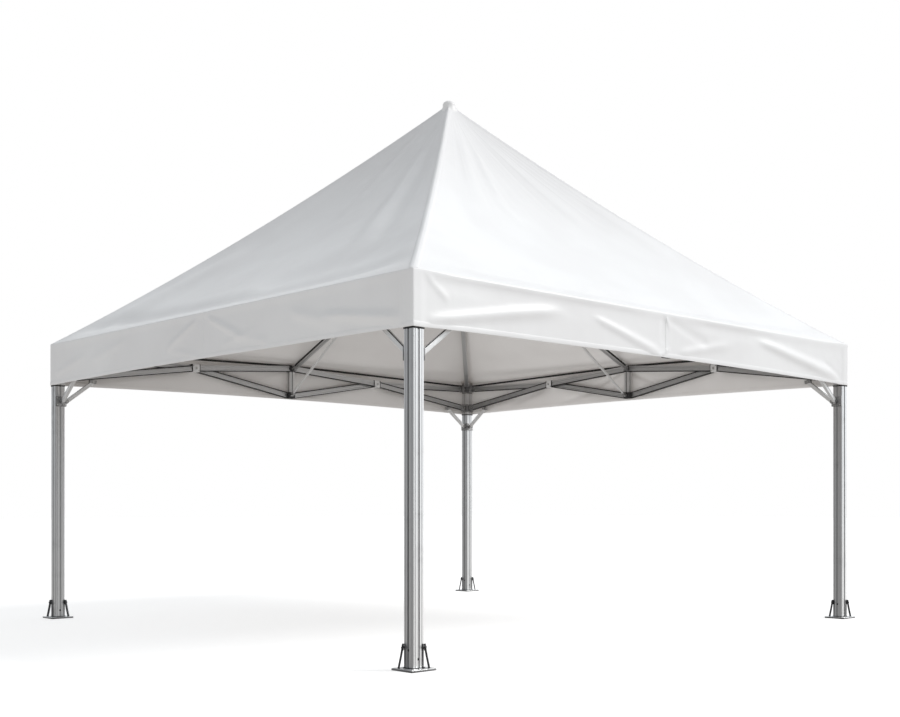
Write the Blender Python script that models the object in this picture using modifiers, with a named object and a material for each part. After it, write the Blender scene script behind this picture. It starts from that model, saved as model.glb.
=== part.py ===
# Square marquee tent: four grooved aluminium legs on foot plates, a bolted eave truss on each side,
# hip rafters and roof struts to a king post, and a white cover of four roof panels with valances.
# Units are metres, +Z is up, and the origin is on the ground at the centre of the plan.

import math

import bmesh
import bpy
from mathutils import Matrix, Vector

# Driving dimensions of the whole tent
EAVE_HALF = 2.50
EAVE_HEIGHT = 2.42
PEAK_HEIGHT = 4.555
ROOF_SAG = 0.085
VALANCE_DROP = 0.36
CLOTH = 0.004
GAP = 0.0003
MERGE = 0.00001

# Legs and feet
LEG_WIDTH = 0.088
LEG_CORNER = 0.005
GROOVE_WIDTH = 0.015
GROOVE_DEPTH = 0.009
LEG_TOP = 2.30
PLATE_WIDTH = 0.195
PLATE_THICK = 0.014
PLATE_CORNER = 0.012
STRAP_WIDTH = 0.030
STRAP_THICK = 0.011
STRAP_FOOT = 0.0885
STRAP_TOP = 0.160
STRAP_BOW = 1.2
STRAP_STEPS = 6

# Side trusses: two kinked bars on each half of a side, and a post at the middle
BAR_DEPTH = 0.060
BAR_WIDTH = 0.028
INNER_BAR_OFFSET = 0.016
UPPER_HUB_HEIGHT = 2.396
LOWER_HUB_HEIGHT = 2.126
HUB_WIDTH = 0.080
HUB_HEIGHT = 0.064
HUB_DEPTH = 0.060
POST_WIDTH = 0.056
POST_DEPTH = 0.056
CLAMP_FROM_MIDDLE = 1.10
CLAMP_HEIGHT = 2.318
CLAMP_LENGTH = 0.084
CLAMP_MARGIN = 0.004
CLAMP_DEPTH = 0.074
BAR_IN_HUB = 0.006

# Castings on the legs: lugs for the truss bars, and a seat for the hip rafter
HEAD_LUG_HEIGHT = 2.348
HEAD_LUG_WIDTH = 0.064
HEAD_LUG_DEPTH = 0.070
SHOE_HEIGHT = 2.130
SHOE_LUG_WIDTH = 0.056
SHOE_LUG_DEPTH = 0.066
SHOE_LUG_INSET = 0.004
LUG_LENGTH = 0.046
LUG_ROOT = 0.004
SEAT_WIDTH = 0.059
SEAT_BELOW = 0.034
SEAT_ABOVE = 0.022
SEAT_LAP = 0.012

# Corner brackets and knee braces
BRACKET_THICK = 0.010
SHOE_DEPTH = 0.092
KNEE_BRACKET_HEIGHT = 1.915
KNEE_BRACKET_DEPTH = 0.100
KNEE_FOOT_DROP = 0.012
KNEE_REACH = 0.270
KNEE_DEPTH = 0.038
KNEE_WIDTH = 0.028
KNEE_LINE_INSET = 0.014
KNEE_BELOW_BAR = 0.028
PAD_LENGTH = 0.060
PAD_DEPTH = 0.034
PAD_CLEARANCE = 0.004

# Roof frame
RAFTER_WIDTH = 0.045
RAFTER_FOOT = 2.372
RAFTER_HEAD = 0.066
KING_POST_RADIUS = 0.030
KING_POST_FOOT = 3.395
KING_POST_RIM = 0.036
KING_POST_DOME = 0.016
KING_POST_NECK = 0.030
KING_POST_CLEARANCE = 0.004
CROWN_HUB_DEPTH = 0.090
CROWN_CHAMFER = 0.55
LOWER_STRUT_HUB = 3.450
UPPER_STRUT_HUB = 3.740
STRUT_HUB_WIDTH = 0.110
STRUT_HUB_DEPTH = 0.070
STRUT_HUB_CHAMFER = 0.16
MAIN_STRUT_DEPTH = 0.042
MAIN_STRUT_WIDTH = 0.030
LIGHT_STRUT_DEPTH = 0.020
LIGHT_STRUT_WIDTH = 0.020
STRUT_CLEARANCE = 0.001
CROSSING_BOLT_RADIUS = 0.011
CROSSING_BOLT_LENGTH = 0.070

# Cover
PANEL_ROWS = 16
PANEL_TIP = 0.024
CAP_RADIUS = 0.056
CAP_TOP = 4.580
CAP_SHOULDER = 4.540
CAP_STEPS = 8

CORNER_NAMES = ("front_left", "front_right", "back_right", "back_left")
SIDE_NAMES = ("front", "right", "back", "left")

LEG_LINE = EAVE_HALF - CLOTH - 0.002 - LEG_WIDTH / 2
LEG_INNER = LEG_LINE - LEG_WIDTH / 2


def clear_scene():
    for old in list(bpy.data.objects):
        bpy.data.objects.remove(old, do_unlink=True)


def new_collection(name):
    collection = bpy.data.collections.new(name)
    bpy.context.scene.collection.children.link(collection)
    return collection


def new_material(name, colour, roughness, metallic):
    material = bpy.data.materials.new(name)
    material.use_nodes = True
    shader = material.node_tree.nodes["Principled BSDF"]
    shader.inputs["Base Color"].default_value = (*colour, 1.0)
    shader.inputs["Roughness"].default_value = roughness
    shader.inputs["Metallic"].default_value = metallic
    return material


def mesh_from(shape, name):
    bmesh.ops.recalc_face_normals(shape, faces=shape.faces)
    mesh = bpy.data.meshes.new(name)
    shape.to_mesh(mesh)
    shape.free()
    return mesh


def add_object(name, mesh, collection, material, location=(0.0, 0.0, 0.0), turn=0.0):
    part = bpy.data.objects.new(name, mesh)
    part.location = location
    part.rotation_euler.z = turn
    part.parent = tent_root
    if not mesh.materials:
        mesh.materials.append(material)
    collection.objects.link(part)
    return part


def box(centre, size, turn=None):
    """A box of the given size about a centre, turned by an optional rotation matrix."""
    shape = bmesh.new()
    bmesh.ops.create_cube(shape, size=1.0)
    spin = turn.to_4x4() if turn else Matrix.Identity(4)
    place = Matrix.Translation(Vector(centre)) @ spin @ Matrix.Diagonal((*size, 1.0))
    bmesh.ops.transform(shape, matrix=place, verts=shape.verts)
    return shape


def bar(start, end, width, depth):
    """A straight bar of rectangular section; depth is measured in the upright plane of the bar."""
    start = Vector(start)
    end = Vector(end)
    along = (end - start).normalized()
    side = Vector((0.0, 0.0, 1.0)).cross(along).normalized()
    up = along.cross(side)
    turn = Matrix((along, side, up)).transposed()
    return box((start + end) / 2, ((end - start).length, width, depth), turn)


def upright_cut_bar(start, end, width, depth):
    """A sloping bar whose two ends are cut upright, through its start and end points."""
    start = Vector(start)
    end = Vector(end)
    along = (end - start).normalized()
    level = Vector((along.x, along.y, 0.0)).normalized()
    shape = bar(start - along * depth * 2, end + along * depth * 2, width, depth)
    for point, outward in ((start, -level), (end, level)):
        bmesh.ops.bisect_plane(
            shape,
            geom=shape.verts[:] + shape.edges[:] + shape.faces[:],
            plane_co=point,
            plane_no=outward,
            clear_outer=True,
        )
        open_edges = [edge for edge in shape.edges if edge.is_boundary]
        bmesh.ops.holes_fill(shape, edges=open_edges)
    return shape


def cylinder(centre, radius, height, sides=24, turn=None):
    shape = bmesh.new()
    bmesh.ops.create_cone(
        shape, cap_ends=True, segments=sides, radius1=radius, radius2=radius, depth=height
    )
    spin = turn.to_4x4() if turn else Matrix.Identity(4)
    bmesh.ops.transform(shape, matrix=Matrix.Translation(Vector(centre)) @ spin, verts=shape.verts)
    return shape


def extruded(outline, thickness, place):
    """A flat outline in its own XY plane, thickened evenly to both sides and then placed."""
    curve = bpy.data.curves.new("outline", "CURVE")
    curve.dimensions = "2D"
    curve.fill_mode = "BOTH"
    curve.extrude = thickness / 2
    spline = curve.splines.new("POLY")
    spline.points.add(len(outline) - 1)
    for point, (x, y) in zip(spline.points, outline):
        point.co = (x, y, 0.0, 1.0)
    spline.use_cyclic_u = True
    holder = bpy.data.objects.new("outline", curve)
    cutters.objects.link(holder)
    depsgraph = bpy.context.evaluated_depsgraph_get()
    mesh = bpy.data.meshes.new_from_object(holder.evaluated_get(depsgraph))
    bpy.data.objects.remove(holder, do_unlink=True)
    shape = bmesh.new()
    shape.from_mesh(mesh)
    bmesh.ops.remove_doubles(shape, verts=shape.verts, dist=MERGE)
    bmesh.ops.transform(shape, matrix=place, verts=shape.verts)
    bpy.data.meshes.remove(mesh)
    return shape


def combined(name, shapes, operation="UNION"):
    """One mesh from several overlapping shapes, joined or cut by exact Booleans in turn."""
    base = bpy.data.objects.new(name, mesh_from(shapes[0], name))
    cutters.objects.link(base)
    helpers = []
    for shape in shapes[1:]:
        helper = bpy.data.objects.new(name + "_helper", mesh_from(shape, name + "_helper"))
        helper.hide_render = True
        helper.display_type = "WIRE"
        cutters.objects.link(helper)
        step = base.modifiers.new("join", "BOOLEAN")
        step.operation = operation
        step.solver = "EXACT"
        step.object = helper
        helpers.append(helper)
    depsgraph = bpy.context.evaluated_depsgraph_get()
    mesh = bpy.data.meshes.new_from_object(base.evaluated_get(depsgraph))
    mesh.name = name
    for used in [base] + helpers:
        bpy.data.objects.remove(used, do_unlink=True)
    return mesh


def rounded_square(width, radius, steps=3):
    """Outline of a square with round corners, as arcs of a few points each."""
    points = []
    inset = width / 2 - radius
    for quarter in range(4):
        centre_angle = math.radians(45 + 90 * quarter)
        cx = math.copysign(inset, math.cos(centre_angle))
        cy = math.copysign(inset, math.sin(centre_angle))
        for step in range(steps + 1):
            angle = math.radians(90 * quarter + 90 * step / steps)
            points.append((cx + radius * math.cos(angle), cy + radius * math.sin(angle)))
    return points


def grooved_square(width, radius, groove_width, groove_depth):
    """Rounded square with one open groove down the middle of each face."""
    points = []
    half = width / 2
    for quarter in range(4):
        turn = Matrix.Rotation(math.radians(90 * quarter), 2)
        face = [
            (half, -groove_width / 2),
            (half - groove_depth, -groove_width / 2),
            (half - groove_depth, groove_width / 2),
            (half, groove_width / 2),
        ]
        for step in range(4):
            angle = math.radians(90 * step / 3)
            face.append(
                (half - radius + radius * math.cos(angle), half - radius + radius * math.sin(angle))
            )
        points.extend(tuple(turn @ Vector(point)) for point in face)
    return points


def roof_height(from_centre):
    """Height of the cover above a line at this distance from the centre, measured square to the eave."""
    share = from_centre / EAVE_HALF
    straight = PEAK_HEIGHT - (PEAK_HEIGHT - EAVE_HEIGHT) * share
    return straight - 4 * ROOF_SAG * share * (1 - share)


def roof_slope(from_centre):
    share = from_centre / EAVE_HALF
    return (PEAK_HEIGHT - EAVE_HEIGHT + 4 * ROOF_SAG * (1 - 2 * share)) / EAVE_HALF


def cloth_below(from_centre):
    """Height of the cover's under side at this distance from the centre."""
    return roof_height(from_centre) - CLOTH * math.hypot(1.0, roof_slope(from_centre))


def leg_mesh():
    length = LEG_TOP - PLATE_THICK - GAP
    middle = PLATE_THICK + GAP + length / 2
    outline = grooved_square(LEG_WIDTH, LEG_CORNER, GROOVE_WIDTH, GROOVE_DEPTH)
    return mesh_from(extruded(outline, length, Matrix.Translation((0, 0, middle))), "leg")


def foot_mesh():
    """Plate with two bowed straps that rise to the leg's corners, on the diagonal across the tent's own.

    A strap stands off the corner by a power of the height that it has still to climb.
    """
    outline = rounded_square(PLATE_WIDTH, PLATE_CORNER)
    shapes = [extruded(outline, PLATE_THICK, Matrix.Translation((0, 0, PLATE_THICK / 2)))]
    corner = (LEG_WIDTH / 2 - LEG_CORNER) * math.sqrt(2) + LEG_CORNER + GAP
    sunk = PLATE_THICK / 2
    near_side = []
    for step in range(STRAP_STEPS + 1):
        share = step / STRAP_STEPS
        reach = corner + (STRAP_FOOT - corner) * (1 - share) ** STRAP_BOW
        near_side.append((reach, sunk + (STRAP_TOP - sunk) * share))
    far_side = [(reach + STRAP_THICK, height) for reach, height in reversed(near_side)]
    for direction in (-45, 135):
        upright = Matrix.Rotation(math.radians(90), 4, "X")
        place = Matrix.Rotation(math.radians(direction), 4, "Z") @ upright
        shapes.append(extruded(near_side + far_side, STRAP_WIDTH, place))
    return combined("foot", shapes)


def head_mesh():
    """Casting on top of the front left leg, with lugs for two truss bars and the hip rafter."""
    outer = LEG_LINE + LEG_WIDTH / 2
    top = cloth_below(outer) - GAP
    bottom = LEG_TOP + GAP
    centre = (-LEG_LINE, -LEG_LINE, (top + bottom) / 2)
    shapes = [box(centre, (LEG_WIDTH, LEG_WIDTH, top - bottom))]
    lug_size = (LUG_LENGTH + LUG_ROOT, HEAD_LUG_WIDTH, HEAD_LUG_DEPTH)
    lug_middle = LEG_INNER - LUG_LENGTH / 2 + LUG_ROOT / 2
    shapes.append(box((-lug_middle, -LEG_LINE, HEAD_LUG_HEIGHT), lug_size))
    turned = Matrix.Rotation(math.radians(90), 3, "Z")
    shapes.append(box((-LEG_LINE, -lug_middle, HEAD_LUG_HEIGHT), lug_size, turned))
    diagonal = Matrix.Rotation(math.radians(45), 3, "Z")
    seat_start = RAFTER_FOOT + GAP / math.sqrt(2)
    seat_end = LEG_INNER + SEAT_LAP
    seat_middle = (seat_start + seat_end) / 2
    seat_length = (seat_end - seat_start) * math.sqrt(2)
    seat_bottom = rafter_height(RAFTER_FOOT) - SEAT_BELOW
    seat_top = rafter_height(RAFTER_FOOT) + SEAT_ABOVE
    seat_size = (seat_length, SEAT_WIDTH, seat_top - seat_bottom)
    shapes.append(box((-seat_middle, -seat_middle, (seat_top + seat_bottom) / 2), seat_size, diagonal))
    return combined("leg_head", shapes)


def inner_bracket(height, depth):
    """Two plates that hug the inner faces of the front left leg, meeting round its inner corner."""
    along = LEG_WIDTH + BRACKET_THICK
    face = LEG_INNER - GAP - BRACKET_THICK / 2
    middle = LEG_LINE - BRACKET_THICK / 2
    return [
        box((-face, -middle, height), (BRACKET_THICK, along, depth)),
        box((-middle, -face, height), (along, BRACKET_THICK, depth)),
    ]


def shoe_mesh():
    """Bracket below the head that takes the lower ends of two truss bars."""
    shapes = inner_bracket(SHOE_HEIGHT, SHOE_DEPTH)
    reach = LUG_LENGTH - BRACKET_THICK / 2
    middle = LEG_INNER - BRACKET_THICK / 2 - reach / 2
    size = (reach, SHOE_LUG_WIDTH, SHOE_LUG_DEPTH)
    line = -LEG_LINE + SHOE_LUG_INSET
    shapes.append(box((-middle, line, SHOE_HEIGHT), size))
    turned = Matrix.Rotation(math.radians(90), 3, "Z")
    shapes.append(box((line, -middle, SHOE_HEIGHT), size, turned))
    return combined("leg_shoe", shapes)


def truss_line(height_at_middle, height_at_leg, end):
    """Centre line of one kinked bar, from the middle post through the clamp to the leg."""
    return [
        (HUB_WIDTH / 2 - BAR_IN_HUB, height_at_middle),
        (CLAMP_FROM_MIDDLE, CLAMP_HEIGHT),
        (end, height_at_leg),
    ]


def truss_mesh():
    """Front side truss: middle post with two hubs, and four kinked bars that cross at the clamps."""
    line = -LEG_LINE
    shapes = []
    bottom = LOWER_HUB_HEIGHT
    top = UPPER_HUB_HEIGHT
    post_centre = (0, line, (bottom + top) / 2)
    shapes.append(box(post_centre, (POST_WIDTH, POST_DEPTH, top - bottom)))
    for height in (bottom, top):
        shapes.append(box((0, line, height), (HUB_WIDTH, HUB_DEPTH, HUB_HEIGHT)))
    bar_end = LEG_INNER - LUG_LENGTH - GAP
    for mirror in (-1, 1):
        clamp_centre = (mirror * CLAMP_FROM_MIDDLE, line, CLAMP_HEIGHT)
        clamp_width = 2 * (INNER_BAR_OFFSET + CLAMP_MARGIN) + BAR_WIDTH
        clamp_size = (CLAMP_LENGTH, clamp_width, CLAMP_DEPTH)
        shapes.append(box(clamp_centre, clamp_size))
        routes = (
            (INNER_BAR_OFFSET, truss_line(top, SHOE_HEIGHT, bar_end)),
            (-INNER_BAR_OFFSET, truss_line(bottom, HEAD_LUG_HEIGHT, bar_end)),
        )
        for offset, (near, kink, far) in routes:
            hub_end = (mirror * near[0], line + offset, near[1])
            at_clamp = (mirror * kink[0], line + offset, kink[1])
            leg_end = (mirror * far[0], line + offset, far[1])
            shapes.append(bar(hub_end, at_clamp, BAR_WIDTH, BAR_DEPTH))
            shapes.append(upright_cut_bar(at_clamp, leg_end, BAR_WIDTH, BAR_DEPTH))
    return combined("side_truss", shapes)


def knee_mesh():
    """Pair of knee braces with the bracket that bolts them to the front left leg."""
    shapes = inner_bracket(KNEE_BRACKET_HEIGHT, KNEE_BRACKET_DEPTH)
    brace_line = -LEG_LINE + KNEE_LINE_INSET
    foot = LEG_INNER - BRACKET_THICK / 2
    head = LEG_INNER - KNEE_REACH
    rise = (SHOE_HEIGHT - CLAMP_HEIGHT) / (LEG_INNER - LUG_LENGTH - CLAMP_FROM_MIDDLE)
    bar_under = SHOE_HEIGHT - rise * (LEG_INNER - LUG_LENGTH - head)
    bar_under -= BAR_DEPTH / 2 * math.hypot(1.0, rise)
    low = (-foot, brace_line, KNEE_BRACKET_HEIGHT - KNEE_FOOT_DROP)
    high = (-head, brace_line, bar_under - KNEE_BELOW_BAR)
    pad_size = (PAD_LENGTH, KNEE_WIDTH, PAD_DEPTH)
    pad_centre = (-head, brace_line, bar_under - PAD_CLEARANCE - PAD_DEPTH / 2)
    tilt = Matrix.Rotation(math.atan(rise), 3, "Y")
    swap = Matrix(((0, 1, 0, 0), (1, 0, 0, 0), (0, 0, 1, 0), (0, 0, 0, 1)))
    for mirrored in (False, True):
        strut = upright_cut_bar(low, high, KNEE_WIDTH, KNEE_DEPTH)
        pad = box(pad_centre, pad_size, tilt)
        for piece in (strut, pad):
            if mirrored:
                bmesh.ops.transform(piece, matrix=swap, verts=piece.verts)
            shapes.append(piece)
    return combined("knee_braces", shapes)


def rafter_height(from_centre):
    """Centre height of the straight hip rafter, which touches the sagging cover half-way up."""
    touch = EAVE_HALF / 2
    edge = touch + RAFTER_WIDTH / 2 / math.sqrt(2)
    slope = roof_slope(touch)
    tube_half = RAFTER_WIDTH / 2 * math.hypot(1.0, slope / math.sqrt(2))
    at_touch = cloth_below(edge) - tube_half - GAP
    return at_touch + slope * (touch - from_centre)


def rafter_mesh():
    """Hip rafter from the front left leg's head to the crown hub."""
    start = (-RAFTER_FOOT, -RAFTER_FOOT, rafter_height(RAFTER_FOOT))
    end = (-RAFTER_HEAD, -RAFTER_HEAD, rafter_height(RAFTER_HEAD))
    return mesh_from(upright_cut_bar(start, end, RAFTER_WIDTH, RAFTER_WIDTH), "hip_rafter")


def strut_mesh():
    """Front pair of roof struts, which cross between the middle post and the king post."""
    truss_face = LEG_LINE - HUB_DEPTH / 2 - GAP
    hub_face = STRUT_HUB_WIDTH / 2 + GAP
    main_offset = -MAIN_STRUT_WIDTH / 2 - STRUT_CLEARANCE
    light_offset = LIGHT_STRUT_WIDTH / 2 + STRUT_CLEARANCE
    main = upright_cut_bar(
        (main_offset, -truss_face, UPPER_HUB_HEIGHT),
        (main_offset, -hub_face, LOWER_STRUT_HUB),
        MAIN_STRUT_WIDTH,
        MAIN_STRUT_DEPTH,
    )
    light = upright_cut_bar(
        (light_offset, -truss_face, LOWER_HUB_HEIGHT),
        (light_offset, -hub_face, UPPER_STRUT_HUB),
        LIGHT_STRUT_WIDTH,
        LIGHT_STRUT_DEPTH,
    )
    main_rise = LOWER_STRUT_HUB - UPPER_HUB_HEIGHT
    light_rise = UPPER_STRUT_HUB - LOWER_HUB_HEIGHT
    share = (UPPER_HUB_HEIGHT - LOWER_HUB_HEIGHT) / (light_rise - main_rise)
    crossing = (0, -truss_face + share * (truss_face - hub_face), UPPER_HUB_HEIGHT + share * main_rise)
    across = Matrix.Rotation(math.radians(90), 3, "Y")
    bolt = cylinder(crossing, CROSSING_BOLT_RADIUS, CROSSING_BOLT_LENGTH, 12, across)
    return combined("roof_struts", [main, light, bolt])


def turned_mesh(name, profile, sides):
    """Closed turned shape from a profile of (radius, height), top to bottom, with a Screw modifier."""
    curve = bpy.data.meshes.new(name + "_profile")
    points = [(radius, 0.0, height) for radius, height in profile]
    edges = [(index, index + 1) for index in range(len(points) - 1)]
    curve.from_pydata(points, edges, [])
    holder = bpy.data.objects.new(name + "_profile", curve)
    cutters.objects.link(holder)
    screw = holder.modifiers.new("turn", "SCREW")
    screw.steps = sides
    screw.render_steps = sides
    screw.use_merge_vertices = True
    screw.merge_threshold = MERGE
    depsgraph = bpy.context.evaluated_depsgraph_get()
    mesh = bpy.data.meshes.new_from_object(holder.evaluated_get(depsgraph))
    bpy.data.objects.remove(holder, do_unlink=True)
    shape = bmesh.new()
    shape.from_mesh(mesh)
    bmesh.ops.remove_doubles(shape, verts=shape.verts, dist=MERGE)
    bpy.data.meshes.remove(mesh)
    solid = mesh_from(shape, name)
    solid.shade_smooth()
    solid.set_sharp_from_angle(angle=math.radians(35))
    return solid


def arc_profile(radius, shoulder, top, steps):
    """Quarter ellipse from the top, on the axis, down to the full radius at the shoulder."""
    angles = [math.radians(90 * step / steps) for step in range(steps + 1)]
    return [(radius * math.sin(angle), shoulder + (top - shoulder) * math.cos(angle)) for angle in angles]


def king_post_mesh():
    """Upright tube at the centre with a domed head that holds up the tip of the cover."""
    shoulder = cloth_below(KING_POST_RIM) - GAP - KING_POST_CLEARANCE
    neck = shoulder - KING_POST_NECK
    profile = arc_profile(KING_POST_RIM, shoulder, shoulder + KING_POST_DOME, 5)
    profile += [(KING_POST_RIM, neck), (KING_POST_RADIUS, neck - KING_POST_NECK / 2)]
    profile += [(KING_POST_RADIUS, KING_POST_FOOT), (0.0, KING_POST_FOOT)]
    return turned_mesh("king_post", profile, 32)


def upright_edges(shape):
    return [edge for edge in shape.edges if abs(edge.verts[0].co.z - edge.verts[1].co.z) > MERGE]


def hub_mesh(name, height, width, depth):
    """Square hub with chamfered corners, bored for the king post."""
    shape = box((0, 0, height), (width, width, depth))
    bmesh.ops.bevel(shape, geom=upright_edges(shape), offset=width * STRUT_HUB_CHAMFER, segments=1, affect="EDGES")
    bore = cylinder((0, 0, height), KING_POST_RADIUS + GAP, depth * 2, 32)
    return combined(name, [shape, bore], "DIFFERENCE")


def crown_mesh():
    """Hub near the top of the king post, with four faces turned to meet the hip rafters."""
    face = RAFTER_HEAD * math.sqrt(2) - GAP
    height = rafter_height(RAFTER_HEAD)
    turn = Matrix.Rotation(math.radians(45), 3, "Z")
    block = box((0, 0, height), (2 * face, 2 * face, CROWN_HUB_DEPTH), turn)
    bmesh.ops.bevel(block, geom=upright_edges(block), offset=face * CROWN_CHAMFER, segments=1, affect="EDGES")
    bore = cylinder((0, 0, height), KING_POST_RADIUS + GAP, CROWN_HUB_DEPTH * 2, 32)
    return combined("crown_hub", [block, bore], "DIFFERENCE")


def roof_mesh():
    """Front roof panel: level lines across, sagging up the slope, cut along the two hips."""
    shape = bmesh.new()
    upper = []
    lower = []
    for row in range(PANEL_ROWS + 1):
        reach = PANEL_TIP + (EAVE_HALF - PANEL_TIP) * row / PANEL_ROWS
        half = reach - GAP
        upper.append([shape.verts.new((side * half, -reach, roof_height(reach))) for side in (-1, 1)])
        lower.append([shape.verts.new((side * half, -reach, cloth_below(reach))) for side in (-1, 1)])
    for row in range(PANEL_ROWS):
        shape.faces.new((upper[row][0], upper[row][1], upper[row + 1][1], upper[row + 1][0]))
        shape.faces.new((lower[row][0], lower[row + 1][0], lower[row + 1][1], lower[row][1]))
        shape.faces.new((upper[row][0], upper[row + 1][0], lower[row + 1][0], lower[row][0]))
        shape.faces.new((upper[row][1], lower[row][1], lower[row + 1][1], upper[row + 1][1]))
    shape.faces.new((upper[0][0], lower[0][0], lower[0][1], upper[0][1]))
    shape.faces.new((upper[-1][0], upper[-1][1], lower[-1][1], lower[-1][0]))
    return mesh_from(shape, "roof_panel")


def valance_mesh():
    """Front valance, hanging from the eave and meeting the next valance at the right-hand corner."""
    top = cloth_below(EAVE_HALF) - GAP
    bottom = EAVE_HEIGHT - VALANCE_DROP
    right = EAVE_HALF - CLOTH - GAP
    centre = ((right - EAVE_HALF) / 2, -EAVE_HALF + CLOTH / 2, (top + bottom) / 2)
    return mesh_from(box(centre, (right + EAVE_HALF, CLOTH, top - bottom)), "valance")


def cap_mesh():
    """Small dome over the tip of the cover, hollowed to sit on its four faces."""
    half = CAP_RADIUS * 1.5
    foot = roof_height(half)
    profile = arc_profile(CAP_RADIUS, CAP_SHOULDER, CAP_TOP, CAP_STEPS)
    profile += [(CAP_RADIUS, foot), (0.0, foot)]
    dome = bmesh.new()
    dome.from_mesh(turned_mesh("peak_cap", profile, 32))
    tip_height = roof_height(0.0) + 2 * GAP
    drop = tip_height - foot - 2 * GAP
    pyramid = bmesh.new()
    bmesh.ops.create_cone(
        pyramid, cap_ends=True, segments=4, radius1=half * 2 * math.sqrt(2), radius2=0.0, depth=drop * 2
    )
    bmesh.ops.remove_doubles(pyramid, verts=pyramid.verts, dist=MERGE)
    turn = Matrix.Rotation(math.radians(45), 4, "Z")
    place = Matrix.Translation((0.0, 0.0, tip_height - drop)) @ turn
    bmesh.ops.transform(pyramid, matrix=place, verts=pyramid.verts)
    return combined("peak_cap", [dome, pyramid], "DIFFERENCE")


clear_scene()
tent = new_collection("marquee_tent")
cutters = new_collection("cutters")
tent_root = bpy.data.objects.new("tent_origin", None)
tent.objects.link(tent_root)

aluminium = new_material("brushed_aluminium", (0.62, 0.63, 0.64), 0.35, 1.0)
bracket_alloy = new_material("cast_bracket", (0.30, 0.30, 0.31), 0.50, 0.9)
steel = new_material("galvanised_steel", (0.34, 0.35, 0.36), 0.45, 0.9)
cover_cloth = new_material("white_cover", (0.86, 0.86, 0.87), 0.55, 0.0)

leg = leg_mesh()
foot = foot_mesh()
for corner_index, corner_name in enumerate(CORNER_NAMES):
    quarter_turn = math.radians(90 * corner_index)
    place = Matrix.Rotation(quarter_turn, 3, "Z") @ Vector((-LEG_LINE, -LEG_LINE, 0.0))
    add_object("leg_" + corner_name, leg, tent, aluminium, place)
    add_object("foot_" + corner_name, foot, tent, steel, place)

corner_meshes = {
    "leg_head_": (head_mesh(), bracket_alloy),
    "leg_shoe_": (shoe_mesh(), bracket_alloy),
    "knee_braces_": (knee_mesh(), aluminium),
    "hip_rafter_": (rafter_mesh(), aluminium),
}
side_meshes = {
    "side_truss_": (truss_mesh(), aluminium),
    "roof_struts_": (strut_mesh(), aluminium),
    "roof_panel_": (roof_mesh(), cover_cloth),
    "valance_": (valance_mesh(), cover_cloth),
}
for names, meshes in ((CORNER_NAMES, corner_meshes), (SIDE_NAMES, side_meshes)):
    for index, place_name in enumerate(names):
        for prefix, (mesh, finish) in meshes.items():
            add_object(prefix + place_name, mesh, tent, finish, turn=math.radians(90 * index))

add_object("king_post", king_post_mesh(), tent, aluminium)
add_object("crown_hub", crown_mesh(), tent, bracket_alloy)
lower_hub = hub_mesh("lower_strut_hub", LOWER_STRUT_HUB, STRUT_HUB_WIDTH, STRUT_HUB_DEPTH)
upper_hub = hub_mesh("upper_strut_hub", UPPER_STRUT_HUB, STRUT_HUB_WIDTH, STRUT_HUB_DEPTH)
add_object("lower_strut_hub", lower_hub, tent, bracket_alloy)
add_object("upper_strut_hub", upper_hub, tent, bracket_alloy)
add_object("peak_cap", cap_mesh(), tent, cover_cloth)
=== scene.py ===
# Looks of the square marquee tent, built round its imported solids.
# Metres, +Z up; the near corner of the view is at -X, -Y.

import math

import bmesh
import bpy
import numpy as np
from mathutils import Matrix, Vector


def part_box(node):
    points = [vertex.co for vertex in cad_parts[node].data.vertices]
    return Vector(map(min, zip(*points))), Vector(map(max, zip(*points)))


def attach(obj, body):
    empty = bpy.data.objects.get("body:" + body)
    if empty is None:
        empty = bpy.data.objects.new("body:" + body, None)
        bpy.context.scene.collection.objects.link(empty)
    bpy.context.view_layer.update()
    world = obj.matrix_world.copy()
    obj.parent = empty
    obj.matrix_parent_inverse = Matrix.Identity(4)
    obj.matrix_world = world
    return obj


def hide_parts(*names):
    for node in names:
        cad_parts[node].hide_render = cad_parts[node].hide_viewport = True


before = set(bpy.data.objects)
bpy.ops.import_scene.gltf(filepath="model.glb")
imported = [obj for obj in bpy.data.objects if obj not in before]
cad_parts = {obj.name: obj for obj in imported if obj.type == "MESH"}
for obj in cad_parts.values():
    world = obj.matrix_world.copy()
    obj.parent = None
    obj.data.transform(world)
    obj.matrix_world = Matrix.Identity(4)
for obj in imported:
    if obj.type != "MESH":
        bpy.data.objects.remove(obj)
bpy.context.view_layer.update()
print("frame loaded:", len(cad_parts), "nodes")

cornerNames = ("front_left", "front_right", "back_right", "back_left")
sideNames = ("front", "right", "back", "left")
hair = 0.0003               # keeps faces that touch out of one plane


def addObject(name, data):
    made = bpy.data.objects.new(name, data)
    bpy.context.scene.collection.objects.link(made)
    return made


# Camera, lights and floor

view = {
    "eye": (-7.223, -8.1649, 0.9943),
    "yaw": 45.004,            # degrees to the right of +Y
    "lens": 49.11,
    "shift": (-0.0825, 0.1635),
    "sunFrom": (0.58, -0.54, 0.62),
    "sunStrength": 2.0,
    "sunAngle": 24.0,
    "sunColour": (1.0, 0.985, 0.96),
    "floorWidth": 160.0,
    "floorColour": (0.62, 0.62, 0.62),
    "floorDark": 0.985,       # share of that colour in its faint patches
    "floorGlow": 0.63,
}

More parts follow.
